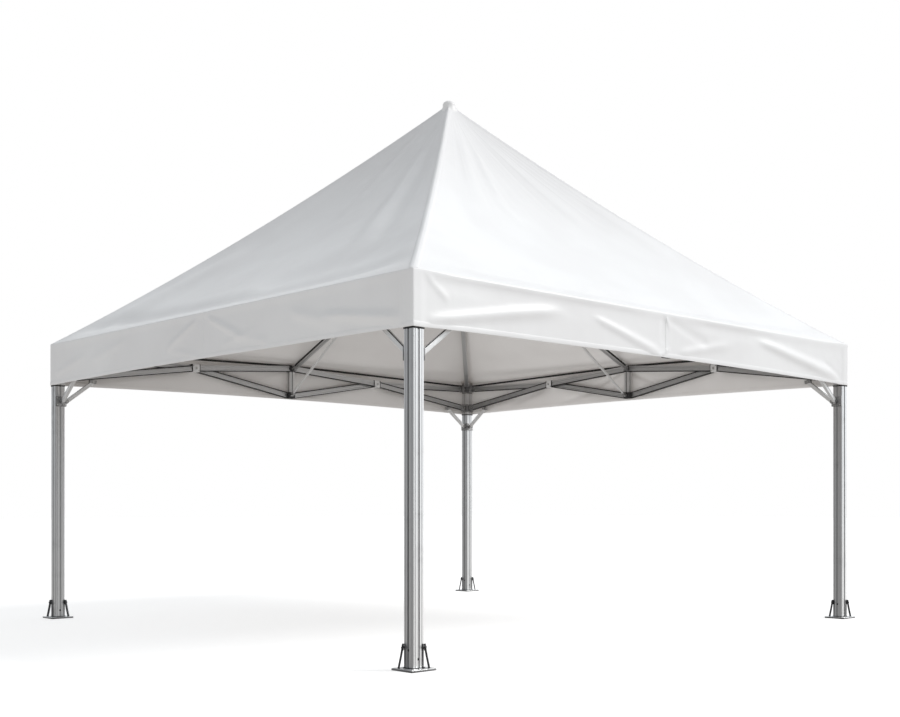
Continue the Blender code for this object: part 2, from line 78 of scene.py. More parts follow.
# A fade is a pair of places along a direction, or of heights, between which one level turns into the next
sky = {
    "horizon": 0.74,          # what lights cloth and floor
    "top": 0.55,
    "topFade": (0.05, 0.9),
    "below": 0.36,
    "belowFade": (-0.06, 0.02),
    "fill": 0.58,             # added to the light from below on the -X side
    "fillSide": (-1.0, 0.0, 0.0),
    "fillFade": (0.0, 0.6),
    "dim": 0.42,              # taken from the horizon on the -X, +Y side
    "dimSide": (-0.60, 0.80, 0.0),
    "dimFade": (-0.1, 0.7),
    "dimTop": (0.3, 0.9),
    "warm": (1.0, 0.975, 0.945),
    "cool": (0.940, 0.972, 1.0),
    "tintFade": (-0.15, 0.10),
    "bright": 1.28,           # what metal mirrors towards +X, -Y
    "side": 0.74,             # towards -X, +Y
    "sideFade": (-0.90, 0.2),
    "near": 0.34,             # and towards -X, -Y
    "farSide": (0.850, 0.527, 0.0),
    "nearFade": (-0.10, 0.12),
    "ground": 0.30,           # share of it that is left where metal mirrors the ground
    "groundFade": (-0.03, 0.03),
    "groundSides": (0.45, 0.75),
    "steepFade": (-0.60, -0.30),
}


def connect(tree, node, values):
    # Wires are linked to a node's sockets, and other values are set on them
    for name, value in values.items():
        if isinstance(value, Wire):
            tree.links.new(value.socket, node.inputs[name])
        else:
            node.inputs[name].default_value = value


class Wire:
    # One output socket of a node tree. Python's own signs between wires and numbers add Math nodes
    def __init__(self, tree, socket=None):
        self.tree = tree
        self.socket = socket

    def node(self, kind, settings, values, output=0):
        made = self.tree.nodes.new(kind)
        for name, value in settings.items():
            setattr(made, name, value)
        connect(self.tree, made, values)
        return Wire(self.tree, made.outputs[output])

    def maths(self, operation, *others):
        return self.node("ShaderNodeMath", {"operation": operation}, dict(enumerate((self, *others))))

    def __add__(self, other):
        return self.maths("ADD", other)

    __radd__ = __add__

    def __sub__(self, other):
        return self.maths("SUBTRACT", other)

    def __rsub__(self, other):
        return self.node("ShaderNodeMath", {"operation": "SUBTRACT"}, {0: other, 1: self})

    def __mul__(self, other):
        return self.maths("MULTIPLY", other)

    __rmul__ = __mul__

    def rise(self, low, high):
        # 0 below low, 1 above high, and a smooth step between them
        settings = {"interpolation_type": "SMOOTHSTEP"}
        return self.node("ShaderNodeMapRange", settings, {"Value": self, "From Min": low, "From Max": high})

    def colours(self, first, second):
        # The first colour where this wire is 0 and the second where it is 1; each is a colour or a wire
        first, second = (shade if isinstance(shade, Wire) else (*shade, 1.0) for shade in (first, second))
        return self.node("ShaderNodeMix", {"data_type": "RGBA"}, {0: self, 6: first, 7: second}, 2)

    def vector(self, operation, other, output=0):
        return self.node("ShaderNodeVectorMath", {"operation": operation}, {0: self, 1: other}, output)

    def dot(self, other):
        return self.vector("DOT_PRODUCT", other, "Value")

    def part(self, axis):
        return self.node("ShaderNodeSeparateXYZ", {}, {"Vector": self}, axis)

    def noise(self, scale, detail=2.0, roughness=0.5):
        values = {"Vector": self, "Scale": scale, "Detail": detail, "Roughness": roughness}
        return self.node("ShaderNodeTexNoise", {}, values, "Fac")

    def bump(self, distance, strength=1.0):
        values = {"Height": self, "Distance": distance, "Strength": strength}
        return self.node("ShaderNodeBump", {}, values, "Normal")


def buildSky():
    # Even soft light on cloth, bright and dim sides for metal to mirror, and plain white behind it all
    s = sky
    world = bpy.data.worlds.new("studio")
    world.use_nodes = True
    bpy.context.scene.world = world
    tree = world.node_tree
    tree.nodes.clear()
    wire = Wire(tree)
    direction = wire.node("ShaderNodeTexCoord", {}, {}, "Generated")
    height = direction.part("Z")
    behind = direction.dot(s["dimSide"]).rise(*s["dimFade"]) * (1.0 - height.rise(*s["dimTop"]))
    above = s["horizon"] + height.rise(*s["topFade"]) * (s["top"] - s["horizon"]) - behind * s["dim"]
    below = s["below"] + direction.dot(s["fillSide"]).rise(*s["fillFade"]) * s["fill"]
    soft = below + height.rise(*s["belowFade"]) * (above - below)

    across = direction.dot((0.7, -0.7, 0.0))
    far = s["side"] + across.rise(*s["sideFade"]) * (s["bright"] - s["side"])
    mirrored = s["near"] + direction.dot(s["farSide"]).rise(*s["nearFade"]) * (far - s["near"])
    sideways = across.maths("ABSOLUTE").rise(*s["groundSides"])
    ground = (1.0 - height.rise(*s["groundFade"])) * (1.0 - sideways)
    steep = 1.0 - height.rise(*s["steepFade"])
    mirrored = mirrored * (1.0 - ground.maths("MAXIMUM", steep) * (1.0 - s["ground"]))

    glossy = wire.node("ShaderNodeLightPath", {}, {}, "Is Glossy Ray")
    seen = wire.node("ShaderNodeLightPath", {}, {}, "Is Camera Ray")
    strength = soft + glossy * (mirrored - soft)
    tint = height.rise(*s["tintFade"]).colours(s["warm"], s["cool"])
    values = {"Color": seen.colours(tint, (1.0, 1.0, 1.0)), "Strength": strength + seen * (1.0 - strength)}
    background = wire.node("ShaderNodeBackground", {}, values)
    tree.links.new(background.socket, tree.nodes.new("ShaderNodeOutputWorld").inputs["Surface"])


def buildView():
    camera = bpy.data.cameras.new("camera")
    camera.lens = view["lens"]
    camera.sensor_width = 36.0
    camera.shift_x, camera.shift_y = view["shift"]
    camera.clip_end = 400.0
    holder = addObject("camera", camera)
    holder.location = view["eye"]
    holder.rotation_euler = (math.radians(90), 0.0, math.radians(-view["yaw"]))
    bpy.context.scene.camera = holder

    sun = bpy.data.lights.new("sun", "SUN")
    sun.energy = view["sunStrength"]
    sun.angle = math.radians(view["sunAngle"])
    sun.color = view["sunColour"]
    x, y, z = view["sunFrom"]
    addObject("sun", sun).rotation_euler = (math.atan2(math.hypot(x, y), z), 0.0, math.atan2(x, -y))
    buildSky()
    bpy.context.scene.view_settings.view_transform = "Standard"

    half = view["floorWidth"] / 2
    corners = [(-half, -half, 0.0), (half, -half, 0.0), (half, half, 0.0), (-half, half, 0.0)]
    mesh = bpy.data.meshes.new("floor")
    mesh.from_pydata(corners, [], [(0, 1, 2, 3)])
    floor = addObject("floor", mesh)
    finish, place, _ = newFinish("paleFloor")
    darker = [shade * view["floorDark"] for shade in view["floorColour"]]
    mesh.materials.append(dressed(finish, {
        "Base Color": place.noise(0.6).colours(view["floorColour"], darker),
        "Roughness": 0.95,
        "Specular IOR Level": 0.1,
        "Emission Color": (1.0, 1.0, 1.0, 1.0),
        "Emission Strength": view["floorGlow"],
    }))
    floor.visible_diffuse = False      # the light from below comes from the sky, so that it stays even
    floor.visible_glossy = False
    print("camera, lights and floor ready")


# Finishes


def newFinish(name):
    # A new material, with wires of its objects' coordinates and of each piece's own map
    finish = bpy.data.materials.new(name)
    finish.use_nodes = True
    source = finish.node_tree.nodes.new("ShaderNodeTexCoord")
    return finish, *(Wire(finish.node_tree, source.outputs[kind]) for kind in ("Object", "UV"))


def dressed(finish, values):
    connect(finish.node_tree, finish.node_tree.nodes["Principled BSDF"], values)
    return finish


clothLook = {
    "light": (0.875, 0.88, 0.89),
    "dull": (0.835, 0.835, 0.845),
    "mottle": (1.4, 3.0),
    "mottleFade": (0.35, 0.7),
    "paintedPeakShade": (0.735, 0.732, 0.740),
    "upper": (2.7, 4.2),      # heights between which the colour turns to the painted shade of the peak
    "roughness": (0.36, 0.50),
    "streaks": 34.0,          # radial wrinkles from hip to hip near the peak
    "streakIn": (0.03, 0.10),
    "streakOut": (0.25, 0.80),
    "streakDepth": 0.004,
    "crumple": 3.2,           # soft unevenness, in waves a metre
    "crumpleDepth": 0.006,
    "thread": 0.0028,         # spacing of the threads that print through the coating
    "threadDepth": 0.00002,
    "middle": 1.5,            # height from which the inner side is told
    # painted glow on the inner side, standing in for daylight through the cloth: its colour, and the strength of
    # every painted glow of the cloth
    "through": (1.0, 0.80, 0.62),
    "throughStrength": 0.040,
    # the peak dome: a darker base colour under a painted glow that stands in for sunlight through it
    "domeTone": (0.56, 0.56, 0.565),
    "domePaintedGlow": 4.6,
}


def coatedCloth(name, streaky=True, glow=0.0, paintedPeakShade=clothLook["paintedPeakShade"]):
    # White coated cloth: even colour with painted shade towards the peak, radial wrinkles near the peak, faint thread
    # print, soft sheen and a painted glow
    look = clothLook
    finish, place, spread = newFinish(name)
    mottle = place.noise(*look["mottle"]).rise(*look["mottleFade"])
    skin = mottle.colours(look["light"], look["dull"])
    low, high = look["roughness"]
    threads = [(place.part(axis) * (2 * math.pi / look["thread"])).maths("SINE") for axis in "XYZ"]
    weave = (threads[0] + threads[1] + threads[2]) * (look["threadDepth"] / look["crumpleDepth"])
    height = place.noise(look["crumple"]) + weave
    if streaky:
        down = spread.part("Y")
        rays = spread.vector("MULTIPLY", (look["streaks"], 1.6, 1.0)).noise(1.0, 1.0)
        near = down.rise(*look["streakIn"]) * (1.0 - down.rise(*look["streakOut"]))
        height = height + rays * near * (look["streakDepth"] / look["crumpleDepth"])
    # Painted glow: the inner side, where the surface faces the middle of the tent, glows as if daylight showed
    # through the cloth, and the outer side glows by the given glow
    facing = place.node("ShaderNodeNewGeometry", {}, {}, "True Normal")
    inside = 1.0 - place.vector("ADD", (0.0, 0.0, -look["middle"])).dot(facing).rise(-0.02, 0.02)
    return dressed(finish, {
        # painted shade: the colour darkens towards the peak
        "Base Color": place.part("Z").rise(*look["upper"]).colours(skin, paintedPeakShade),
        "Roughness": low + place.noise(5.0) * (high - low),
        "Normal": height.bump(look["crumpleDepth"]),
        "Emission Color": inside.colours((glow, glow, glow), look["through"]),
        "Emission Strength": look["throughStrength"],
        "Sheen Weight": 0.08,
        "Coat Weight": 0.10,
        "Coat Roughness": 0.35,
    })


aluminiumLook = {
    "light": 0.80,
    "dark": 0.66,
    "tint": (1.0, 1.006, 1.012),
    "roughness": (0.28, 0.44),
    "lines": (1400.0, 3.0, 1.0),      # drawing lines a metre across the bar, and breaks along it
    "bands": (90.0, 0.7, 1.0),
    "marks": (7.0, 4.0, 0.6),
    "marksFade": (0.52, 0.75),
    "lineDepth": 0.00002,
}


def drawnAluminium(name, brightness=1.0, metallic=1.0):
    # Extruded aluminium: fine lines along the bar, read from the piece's own map, and faint handling marks.
    # Brightness scales the colour for the lighter and darker copies that carry painted light and shade
    look = aluminiumLook
    finish, place, spread = newFinish(name)
    lines = spread.vector("MULTIPLY", look["lines"]).noise(1.0)
    bands = spread.vector("MULTIPLY", look["bands"]).noise(1.0, 1.0)
    marks = place.noise(*look["marks"]).rise(*look["marksFade"])
    shades = [tuple(look[tone] * brightness * share for share in look["tint"]) for tone in ("light", "dark")]
    low, high = look["roughness"]
    return dressed(finish, {
        "Base Color": (bands * 0.6 + marks * 0.5).colours(*shades),
        "Roughness": low + (lines * 0.6 + marks * 0.4) * (high - low),
        "Normal": lines.bump(look["lineDepth"]),
        "Metallic": metallic,
    })


# Patches are a noise's scale, detail and roughness; roughness is its level and what the patches add to it
patchyLooks = {
    "castAlloy": {            # sand-cast brackets: grainy skin, duller in patches
        "patches": (28.0, 3.0, 0.5), "fade": (0.3, 0.7), "colours": ((0.50, 0.50, 0.505), (0.34, 0.34, 0.345)),
        "roughness": (0.36, 0.22), "grain": (650.0, 3.0, 0.6), "depth": (0.00025, 0.8), "metallic": 0.9,
    },
    "darkSteel": {            # phosphated steel: nearly black, with rubbed grey patches
        "patches": (45.0, 4.0, 0.6), "fade": (0.5, 0.78), "colours": ((0.055, 0.055, 0.058), (0.16, 0.16, 0.165)),
        "roughness": (0.5, -0.15), "grain": (420.0, 2.0), "depth": (0.0002, 0.5), "metallic": 0.6, "crisp": True,
    },
    "zincBolt": {
        "patches": (160.0, 3.0, 0.5), "fade": (0.35, 0.7), "colours": ((0.72, 0.72, 0.70), (0.45, 0.45, 0.44)),
        "roughness": (0.25, 0.2), "metallic": 1.0,
    },
    "blackPlastic": {
        "patches": (60.0, 3.0, 0.5), "fade": (0.5, 0.8), "colours": ((0.018, 0.018, 0.019), (0.050, 0.050, 0.052)),
        "roughness": (0.42, 0.2), "grain": (900.0, 2.0), "depth": (0.0001, 0.5), "metallic": 0.0, "crisp": True,
    },
}


def patchyFinish(name):
    # Two colours in patches; the roughness follows the patches where they are crisp, and else the plain noise
    look = patchyLooks[name]
    finish, place, _ = newFinish(name)
    plain = place.noise(*look["patches"])
    patches = plain.rise(*look["fade"])
    level, gain = look["roughness"]
    values = {
        "Base Color": patches.colours(*look["colours"]),
        "Roughness": level + (patches if "crisp" in look else plain) * gain,
        "Metallic": look["metallic"],
    }
    if "grain" in look:
        values["Normal"] = place.noise(*look["grain"]).bump(*look["depth"])
    return dressed(finish, values)


galvanisedLook = {
    "cells": 110.0,
    "scuffs": (35.0, 4.0, 0.65),
    "scuffFade": (0.5, 0.75),
    "skin": ((0.80, 0.80, 0.81), (0.60, 0.605, 0.61)),
    # painted shade on the plate's edges, which stand darker than its lit upper face
    "edge": (0.20, 0.20, 0.205),
    "edgeShadeDepths": (0.003, 0.001),     # below the plate's upper face, between which its edges turn to the painted shade
    "grain": 300.0,
    "depth": (0.0002, 0.6),
}


def galvanisedSteel():
    # Hot-dip zinc: crystal cells in two greys, and painted shade on the edges below the plate's upper face
    look = galvanisedLook
    finish, place, _ = newFinish("galvanisedSteel")
    cells = place.node("ShaderNodeTexVoronoi", {}, {"Vector": place, "Scale": look["cells"]}, "Color").part("X")
    scuffs = place.noise(*look["scuffs"]).rise(*look["scuffFade"])
    skin = (cells * 0.7 + scuffs * 0.4).colours(*look["skin"])
    edge = [footSizes["plateThick"] - depth for depth in look["edgeShadeDepths"]]
    return dressed(finish, {
        "Base Color": place.part("Z").rise(*edge).colours(look["edge"], skin),
        "Roughness": 0.34 + cells * 0.14 + scuffs * 0.15,
        "Normal": (place.noise(look["grain"]) + scuffs * 0.5).bump(*look["depth"]),
        "Metallic": 0.9,
    })


webbingLook = {
    "ribs": 2600.0,           # a metre along the strap, times 2 pi
    "wave": 1800.0,           # and the same for the wave that bends them, across it
    "bend": 1.2,
    "colours": ((0.010, 0.010, 0.011), (0.030, 0.030, 0.032)),
    "depth": (0.0004, 0.7),
}


def blackWebbing():
    # Woven polyester strap: bent ribs along its length
    look = webbingLook
    finish, _, spread = newFinish("blackWebbing")
    wave = (spread.part("X") * look["wave"]).maths("SINE") * look["bend"]
    ribs = (spread.part("Y") * look["ribs"] + wave).maths("SINE") * 0.5 + 0.5
    return dressed(finish, {
        "Base Color": ribs.colours(*look["colours"]),
        "Roughness": 0.62 + ribs * 0.2,
        "Normal": ribs.bump(*look["depth"]),
    })


# Shells: each is (points, faces, map corners); faces are lists of point numbers


def smooth(value, low, high):
    # 0 below low, 1 above high, with a smooth step between them
    share = np.clip((value - low) / (high - low), 0.0, 1.0)
    return share * share * (3.0 - 2.0 * share)


def unit(vector):
    vector = np.array(vector, float)
    return vector / np.linalg.norm(vector)


def runLength(line):
    # Distance along a line of points, from 0 at the first
    return np.concatenate([[0.0], np.cumsum(np.linalg.norm(np.diff(line, axis=0), axis=1))])


def around(outline):
    # Distance round a closed outline, from 0 at its first point to the whole way
    return runLength(np.append(outline, outline[:1], axis=0))


def gridShell(points, across, down):
    # Rings of points joined one to the next by four-sided faces. Across gives the map of each point of a ring, and
    # of the first again at its end, and down gives that of each ring
    rows, columns = points.shape[:2]
    row, column = np.meshgrid(np.arange(rows - 1), np.arange(columns), indexing="ij")
    after = (column + 1) % columns
    faces = np.stack([row * columns + column, (row + 1) * columns + column,
                      (row + 1) * columns + after, row * columns + after], axis=-1).reshape(-1, 4)
    u = np.stack([across[column], across[column], across[column + 1], across[column + 1]], axis=-1)
    v = np.stack([down[row], down[row + 1], down[row + 1], down[row]], axis=-1)
    return points.reshape(-1, 3), faces.tolist(), np.stack([u, v], axis=-1).reshape(-1, 2)


def outward(shell):
    # A closed shell whose enclosed volume comes out negative is turned inside out again
    points, faces, corners = shell
    volume = 0.0
    for face in faces:
        ring = points[face]
        volume += (np.cross(ring[1:-1], ring[2:]) @ ring[0]).sum()
    if volume < 0.0:
        starts = np.concatenate([[0], np.cumsum([len(face) for face in faces])])
        order = np.concatenate([np.arange(b - 1, a - 1, -1) for a, b in zip(starts[:-1], starts[1:])])
        return points, [face[::-1] for face in faces], corners[order]
    return shell


def closedShell(rings, across, down, outline):
    # Rings of points joined one to the next, with both ends shut; the outline is the map of each end
    points, faces, corners = gridShell(rings, across, down)
    first = list(range(len(outline)))
    last = list(range(len(points) - len(outline), len(points)))
    return outward((points, faces + [first, last[::-1]], np.concatenate([corners, outline, outline[::-1]])))


def roundedOutline(width, depth, radius, steps=3):
    # Rectangle with round corners, counterclockwise, as an arc of a few points at each corner
    angle = np.radians(np.arange(4)[:, None] * 90.0 + np.linspace(0.0, 90.0, steps + 1)[None, :])
    middle = np.radians(np.arange(4)[:, None] * 90.0 + 45.0)
    x = np.sign(np.cos(middle)) * (width / 2 - radius) + radius * np.cos(angle)
    y = np.sign(np.sin(middle)) * (depth / 2 - radius) + radius * np.sin(angle)
    return np.stack([x.ravel(), y.ravel()], axis=1)


def channelOutline(width, depth, radius, channel, sunk):
    # Rounded rectangle with a shallow channel down the middle of its two upright faces
    half, edge = width / 2, channel / 2
    right = [(half, -edge), (half - sunk, -edge + sunk), (half - sunk, edge - sunk), (half, edge)]
    left = [(-x, -y) for x, y in right]
    outline = roundedOutline(width, depth, radius)
    return np.concatenate([right, outline[:8], left, outline[8:]])


def barShell(outline, start, end, cutStart=None, cutEnd=None):
    # The outline (across, up) carried from start to end; a cut is the direction square to that end's flat face
    start, end = np.array(start, float), np.array(end, float)
    along = unit(end - start)
    side = unit(np.cross(along, (0.0, 0.0, 1.0) if abs(along[2]) < 0.95 else (0.0, 1.0, 0.0)))
    offsets = outline[:, :1] * side + outline[:, 1:] * np.cross(side, along)
    rings = []
    for point, cut in ((start, cutStart), (end, cutEnd)):
        square = along if cut is None else np.array(cut, float)
        slide = -(offsets @ square) / (along @ square)
        rings.append(point + offsets + slide[:, None] * along)
    return closedShell(np.stack(rings), around(outline), np.array([0.0, np.linalg.norm(end - start)]), outline)


def blockShell(centre, size, radius, turn=0.0):
    # Block with every edge rounded: rounded rectangles stacked upwards, drawn in along a quarter circle at both ends
    width, depth, height = size
    angle = np.radians(np.linspace(0.0, 90.0, 4))
    inset = radius * (1.0 - np.sin(angle))
    rise = -height / 2 + radius * (1.0 - np.cos(angle))
    levels = np.concatenate([rise, -rise[::-1]])
    rings = []
    for draw, place in zip(np.concatenate([inset, inset[::-1]]), levels):
        outline = roundedOutline(width - 2 * draw, depth - 2 * draw, max(radius * 1.5 - draw, 0.0002))
        rings.append(np.column_stack([outline, np.full(len(outline), place)]))
    spin = np.array([[math.cos(turn), -math.sin(turn), 0], [math.sin(turn), math.cos(turn), 0], [0, 0, 1]])
    across = np.linspace(0.0, 2 * (width + depth), len(rings[0]) + 1)
    return closedShell(np.stack(rings) @ spin.T + np.array(centre, float), across, levels, rings[0][:, :2])


def turnedShell(profile, centre, axis=(0.0, 0.0, 1.0), sides=24):
    # Radius and height pairs carried once round an axis, closed by flat ends
    axis = unit(axis)
    side = unit(np.cross(axis, (1.0, 0.0, 0.0) if abs(axis[0]) < 0.9 else (0.0, 1.0, 0.0)))
    profile = np.array(profile, float)
    angle = np.linspace(0.0, 2 * math.pi, sides, endpoint=False)
    ring = np.cos(angle)[:, None] * side + np.sin(angle)[:, None] * np.cross(axis, side)
    points = np.array(centre, float) + profile[:, :1, None] * ring[None] + profile[:, 1:, None] * axis
    reach = profile[:, 0].max()
    flat = reach * np.stack([np.cos(angle), np.sin(angle)], axis=1)
    return closedShell(points, np.linspace(0.0, 2 * math.pi * reach, sides + 1), runLength(profile), flat)


def boltShells(place, axis, size=0.012):
    # Hexagon head on a round washer, pointing along the axis; size is the width of the thread
    washer = [(size * 1.15, -0.001), (size * 1.15, 0.0016), (size * 1.08, 0.0022)]
    head = [(size * 0.98, 0.0), (size * 0.98, size * 0.58), (size * 0.84, size * 0.68)]
    return [turnedShell(washer, place, axis, 18), turnedShell(head, place, axis, 6)]


def bandShell(top, under):
    # A thin closed band from its upper and lower grids of points
    loop = np.concatenate([top, under[:, ::-1]], axis=1)
    step = np.arange(loop.shape[1] + 1) * 0.008
    outline = np.column_stack([step[:-1], np.zeros(len(step) - 1)])
    return closedShell(loop, step, np.linspace(0.0, 1.0, len(loop)), outline)


quarterTurns = np.array([(1, 0), (0, 1), (-1, 0), (0, -1)])      # cosine and sine of each


def turnedAbout(shell, quarter):
    # The same shell a number of quarter turns round the tent's middle
    cosine, sine = quarterTurns[quarter]
    points, faces, corners = shell
    x, y, z = points.T
    return np.column_stack([cosine * x - sine * y, sine * x + cosine * y, z]), faces, corners


def paired(shells):
    # Each shell on one inner side of the near corner, and its mirror image across the corner's diagonal
    pairs = []
    for points, faces, corners in shells:
        pairs += [(points, faces, corners), outward((points[:, [1, 0, 2]], faces, corners))]
    return pairs


def makePiece(name, shells, finish, replaced=(), sharp=32.0):
    # One mesh object from several shells, with its map, smooth shading and sharp edges
    starts = np.cumsum([0] + [len(points) for points, _, _ in shells])
    joined = [[number + start for number in face] for shell, start in zip(shells, starts) for face in shell[1]]
    mesh = bpy.data.meshes.new(name)
    mesh.from_pydata(np.concatenate([shell[0] for shell in shells]).tolist(), [], joined)
    layer = mesh.uv_layers.new(name="map")
    layer.data.foreach_set("uv", np.concatenate([shell[2] for shell in shells]).astype(np.float32).ravel())
    mesh.shade_smooth()
    if sharp:
        mesh.set_sharp_from_angle(angle=math.radians(sharp))
    mesh.materials.append(finish)
    return registered(addObject(name, mesh), replaced)


def registered(piece, replaced):
    if replaced:
        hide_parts(*replaced)
    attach(piece, "root")
    return piece


def makeEach(names, rows, place=turnedAbout):
    # The same pieces at every side or corner. A row gives title, shells, finish and slot, and the node it stands for;
    # the shells may be a function of the corner's number
    for index, name in enumerate(names):
        for title, shells, finish, slot, *nodes in rows:
            own = [place(shell, index) for shell in (shells(index) if callable(shells) else shells)]
            makePiece(title + name, own, finish, [node + name for node in nodes])


# Legs and feet

legLow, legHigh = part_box("leg_front_left")
legLine = -(legLow.x + legHigh.x) / 2
legHalf = (legHigh.x - legLow.x) / 2
legInner = legLine - legHalf

legSizes = {
    "corner": 0.004,
    "slotWidth": 0.016,
    "slotLip": 0.0022,
    "slotInside": 0.020,
    "slotDepth": 0.009,
    "slotEase": 0.0008,
    "lineAt": 0.026,          # thin grooves either side of the slot
    "lineWidth": 0.0045,
    "lineFloor": 0.0008,
    "lineDepth": 0.0030,
    "stripSunk": 0.0007,      # strip in each slot, in the darker alloy: painted shade that deepens the groove
    "slideThick": 0.0024,     # rubber slide in each slot
    "slideSunk": 0.0065,      # how far below the leg's face its middle lies
}


def legOutline():
    # One face of the extrusion, from its slot's middle to its corner arc, repeated by quarter turns
    s = legSizes
    slot, line, ease = s["slotWidth"] / 2, s["lineAt"], s["lineWidth"] / 2
    deep, lip, strip, groove = (legHalf - s[part] for part in ("slotDepth", "slotLip", "stripSunk", "lineDepth"))
    upper = [(deep, s["slotInside"] / 2), (lip, s["slotInside"] / 2), (lip, slot),
             (legHalf - s["slotEase"], slot), (legHalf, slot + s["slotEase"]), (legHalf, line - ease),
             (groove, line - s["lineFloor"] / 2), (groove, line + s["lineFloor"] / 2), (strip, line + ease)]
    angle = np.radians(np.linspace(0.0, 90.0, 6))
    arc = strip - s["corner"] + s["corner"] * np.stack([np.cos(angle), np.sin(angle)], axis=1)
    face = np.concatenate([[(x, -y) for x, y in upper[::-1]], upper, arc])
    quarters = [face]
    for _ in range(3):
        face = np.stack([-face[:, 1], face[:, 0]], axis=1)
        quarters.append(face)
    return np.concatenate(quarters)


footSizes = {
    "plate": 0.195,
    "plateThick": 0.014,
    "strapSides": (-45, 135), # degrees; the same on all four feet
    "strapWidth": 0.030,
    "strapThick": 0.011,
    "strapFoot": 0.0885,      # how far from the leg's middle the strap's near face stands at the plate
    "strapHead": 0.0605,      # and at the leg's corner
    "strapTop": 0.160,
    "strapBow": 1.2,          # power of the height still to climb by which it stands off the corner
    "knob": (0.012, 0.034, 0.036),
    "knobHeight": 0.138,
    "knobBolt": 0.008,
    "boltHeights": (0.124, 0.070),
    "boltSize": 0.0065,
    "gasket": (0.008, 0.006), # how much wider than the leg it is, and its height; this dark band stands in for the shadow line at the plate
    "tie": (0.0045, 0.010),   # the same for the dark tie round the leg under the hem, which stands in for the hem's shadow on the leg
}


def footStrap(direction):
    # Flat bar bent along a line of (distance, height) that climbs from the plate to the leg's corner
    s = footSizes
    climbed = np.linspace(0.0, 1.0, 10)
    reach = s["strapHead"] + (s["strapFoot"] - s["strapHead"]) * (1 - climbed) ** s["strapBow"]
    bottom = s["plateThick"] / 2
    line = np.column_stack([reach + s["strapThick"] / 2, bottom + (s["strapTop"] - bottom) * climbed])
    along = np.gradient(line, axis=0)
    along /= np.linalg.norm(along, axis=1)[:, None]
    square = np.stack([-along[:, 1], along[:, 0]], axis=1)
    outline = roundedOutline(s["strapThick"], s["strapWidth"], 0.003, 2)
    flat = np.array([math.cos(direction), math.sin(direction), 0.0])
    side = np.array([-math.sin(direction), math.cos(direction), 0.0])
    place = line[:, None, :] + outline[None, :, :1] * square[:, None, :]
    points = place[..., :1] * flat + place[..., 1:] * np.array([0.0, 0.0, 1.0]) + outline[None, :, 1:] * side
    return closedShell(points, around(outline), runLength(line), outline)


def atLeg(shell, index):
    # A shell made round the origin, moved to a corner's leg without a turn
    x, y = ((-1, -1), (1, -1), (1, 1), (-1, 1))[index]
    points, faces, corners = shell
    return points + np.array([x * legLine, y * legLine, 0.0]), faces, corners


def legCollar(sizes, height):
    wider, depth = sizes
    return blockShell((0, 0, height), (2 * legHalf + wider, 2 * legHalf + wider, depth), 0.001)


def legBands(index):
    # Gasket on the foot plate and tie under the hem, which hangs higher at the near corner; both are dark bands that
    # stand in for the shadow lines at these joins
    hem = cover["eave"] - cover["drop"] + (0.0 if index else cover["nearRise"])
    tieHeight = hem - footSizes["tie"][1] / 2 - 0.001
    return [legCollar(footSizes["gasket"], footSizes["plateThick"] + 0.001), legCollar(footSizes["tie"], tieHeight)]


def buildLegs():
    s = footSizes
    extrusion = barShell(legOutline(), (0, 0, legLow.z), (0, 0, legHigh.z))
    plate = blockShell((0, 0, s["plateThick"] / 2), (s["plate"], s["plate"], s["plateThick"]), 0.003)
    straps, fixings = [], []
    for degrees in s["strapSides"]:
        direction = math.radians(degrees)
        flat = np.array([math.cos(direction), math.sin(direction)])
        side = np.array([-flat[1], flat[0]])
        seat = (s["strapHead"] + s["knob"][0] / 2 + 0.001) * flat
        straps += [footStrap(direction), blockShell((*seat, s["knobHeight"]), s["knob"], 0.004, direction)]
        for end in (-1, 1):
            place = seat + side * end * (s["knob"][1] / 2 - 0.001)
            fixings += boltShells((*place, s["knobHeight"]), (*(side * end), 0.0), s["knobBolt"])
    for along, height in zip(((1, 0), (0, 1)), s["boltHeights"]):
        for way in (-1, 1):
            place = np.array(along) * way * (legHalf - 0.004)
            fixings += boltShells((*place, height), (along[0] * way, along[1] * way, 0.0), s["boltSize"])
    # strips in the slots, in the darker alloy: painted shade in the grooves
    rubber = roundedOutline(legSizes["slideThick"], legSizes["slotInside"] - 2 * hair, 0.0004, 1)
    rubber = rubber + [legHalf - legSizes["slideSunk"], 0.0]
    slide = barShell(rubber, (0, 0, s["plateThick"] + 0.005), (0, 0, legHigh.z))
    slides = [turnedAbout(slide, quarter) for quarter in range(4)]
    makeEach(cornerNames, (
        ("leg_extrusion_", [extrusion], aluminium, "frame_aluminium", "leg_"),
        ("leg_slides_", slides, shadedAlloy, "bracket_alloy"),
        ("foot_plate_", [plate], steel, "foot_steel", "foot_"),
        ("foot_straps_", straps, blackened, "foot_steel"),
        ("foot_bolts_", fixings, blackened, "foot_steel"),
        ("leg_bands_", legBands, webbingFinish, "cover_fabric"),
    ), atLeg)
    print("legs and feet done")


# Corner castings and knee braces

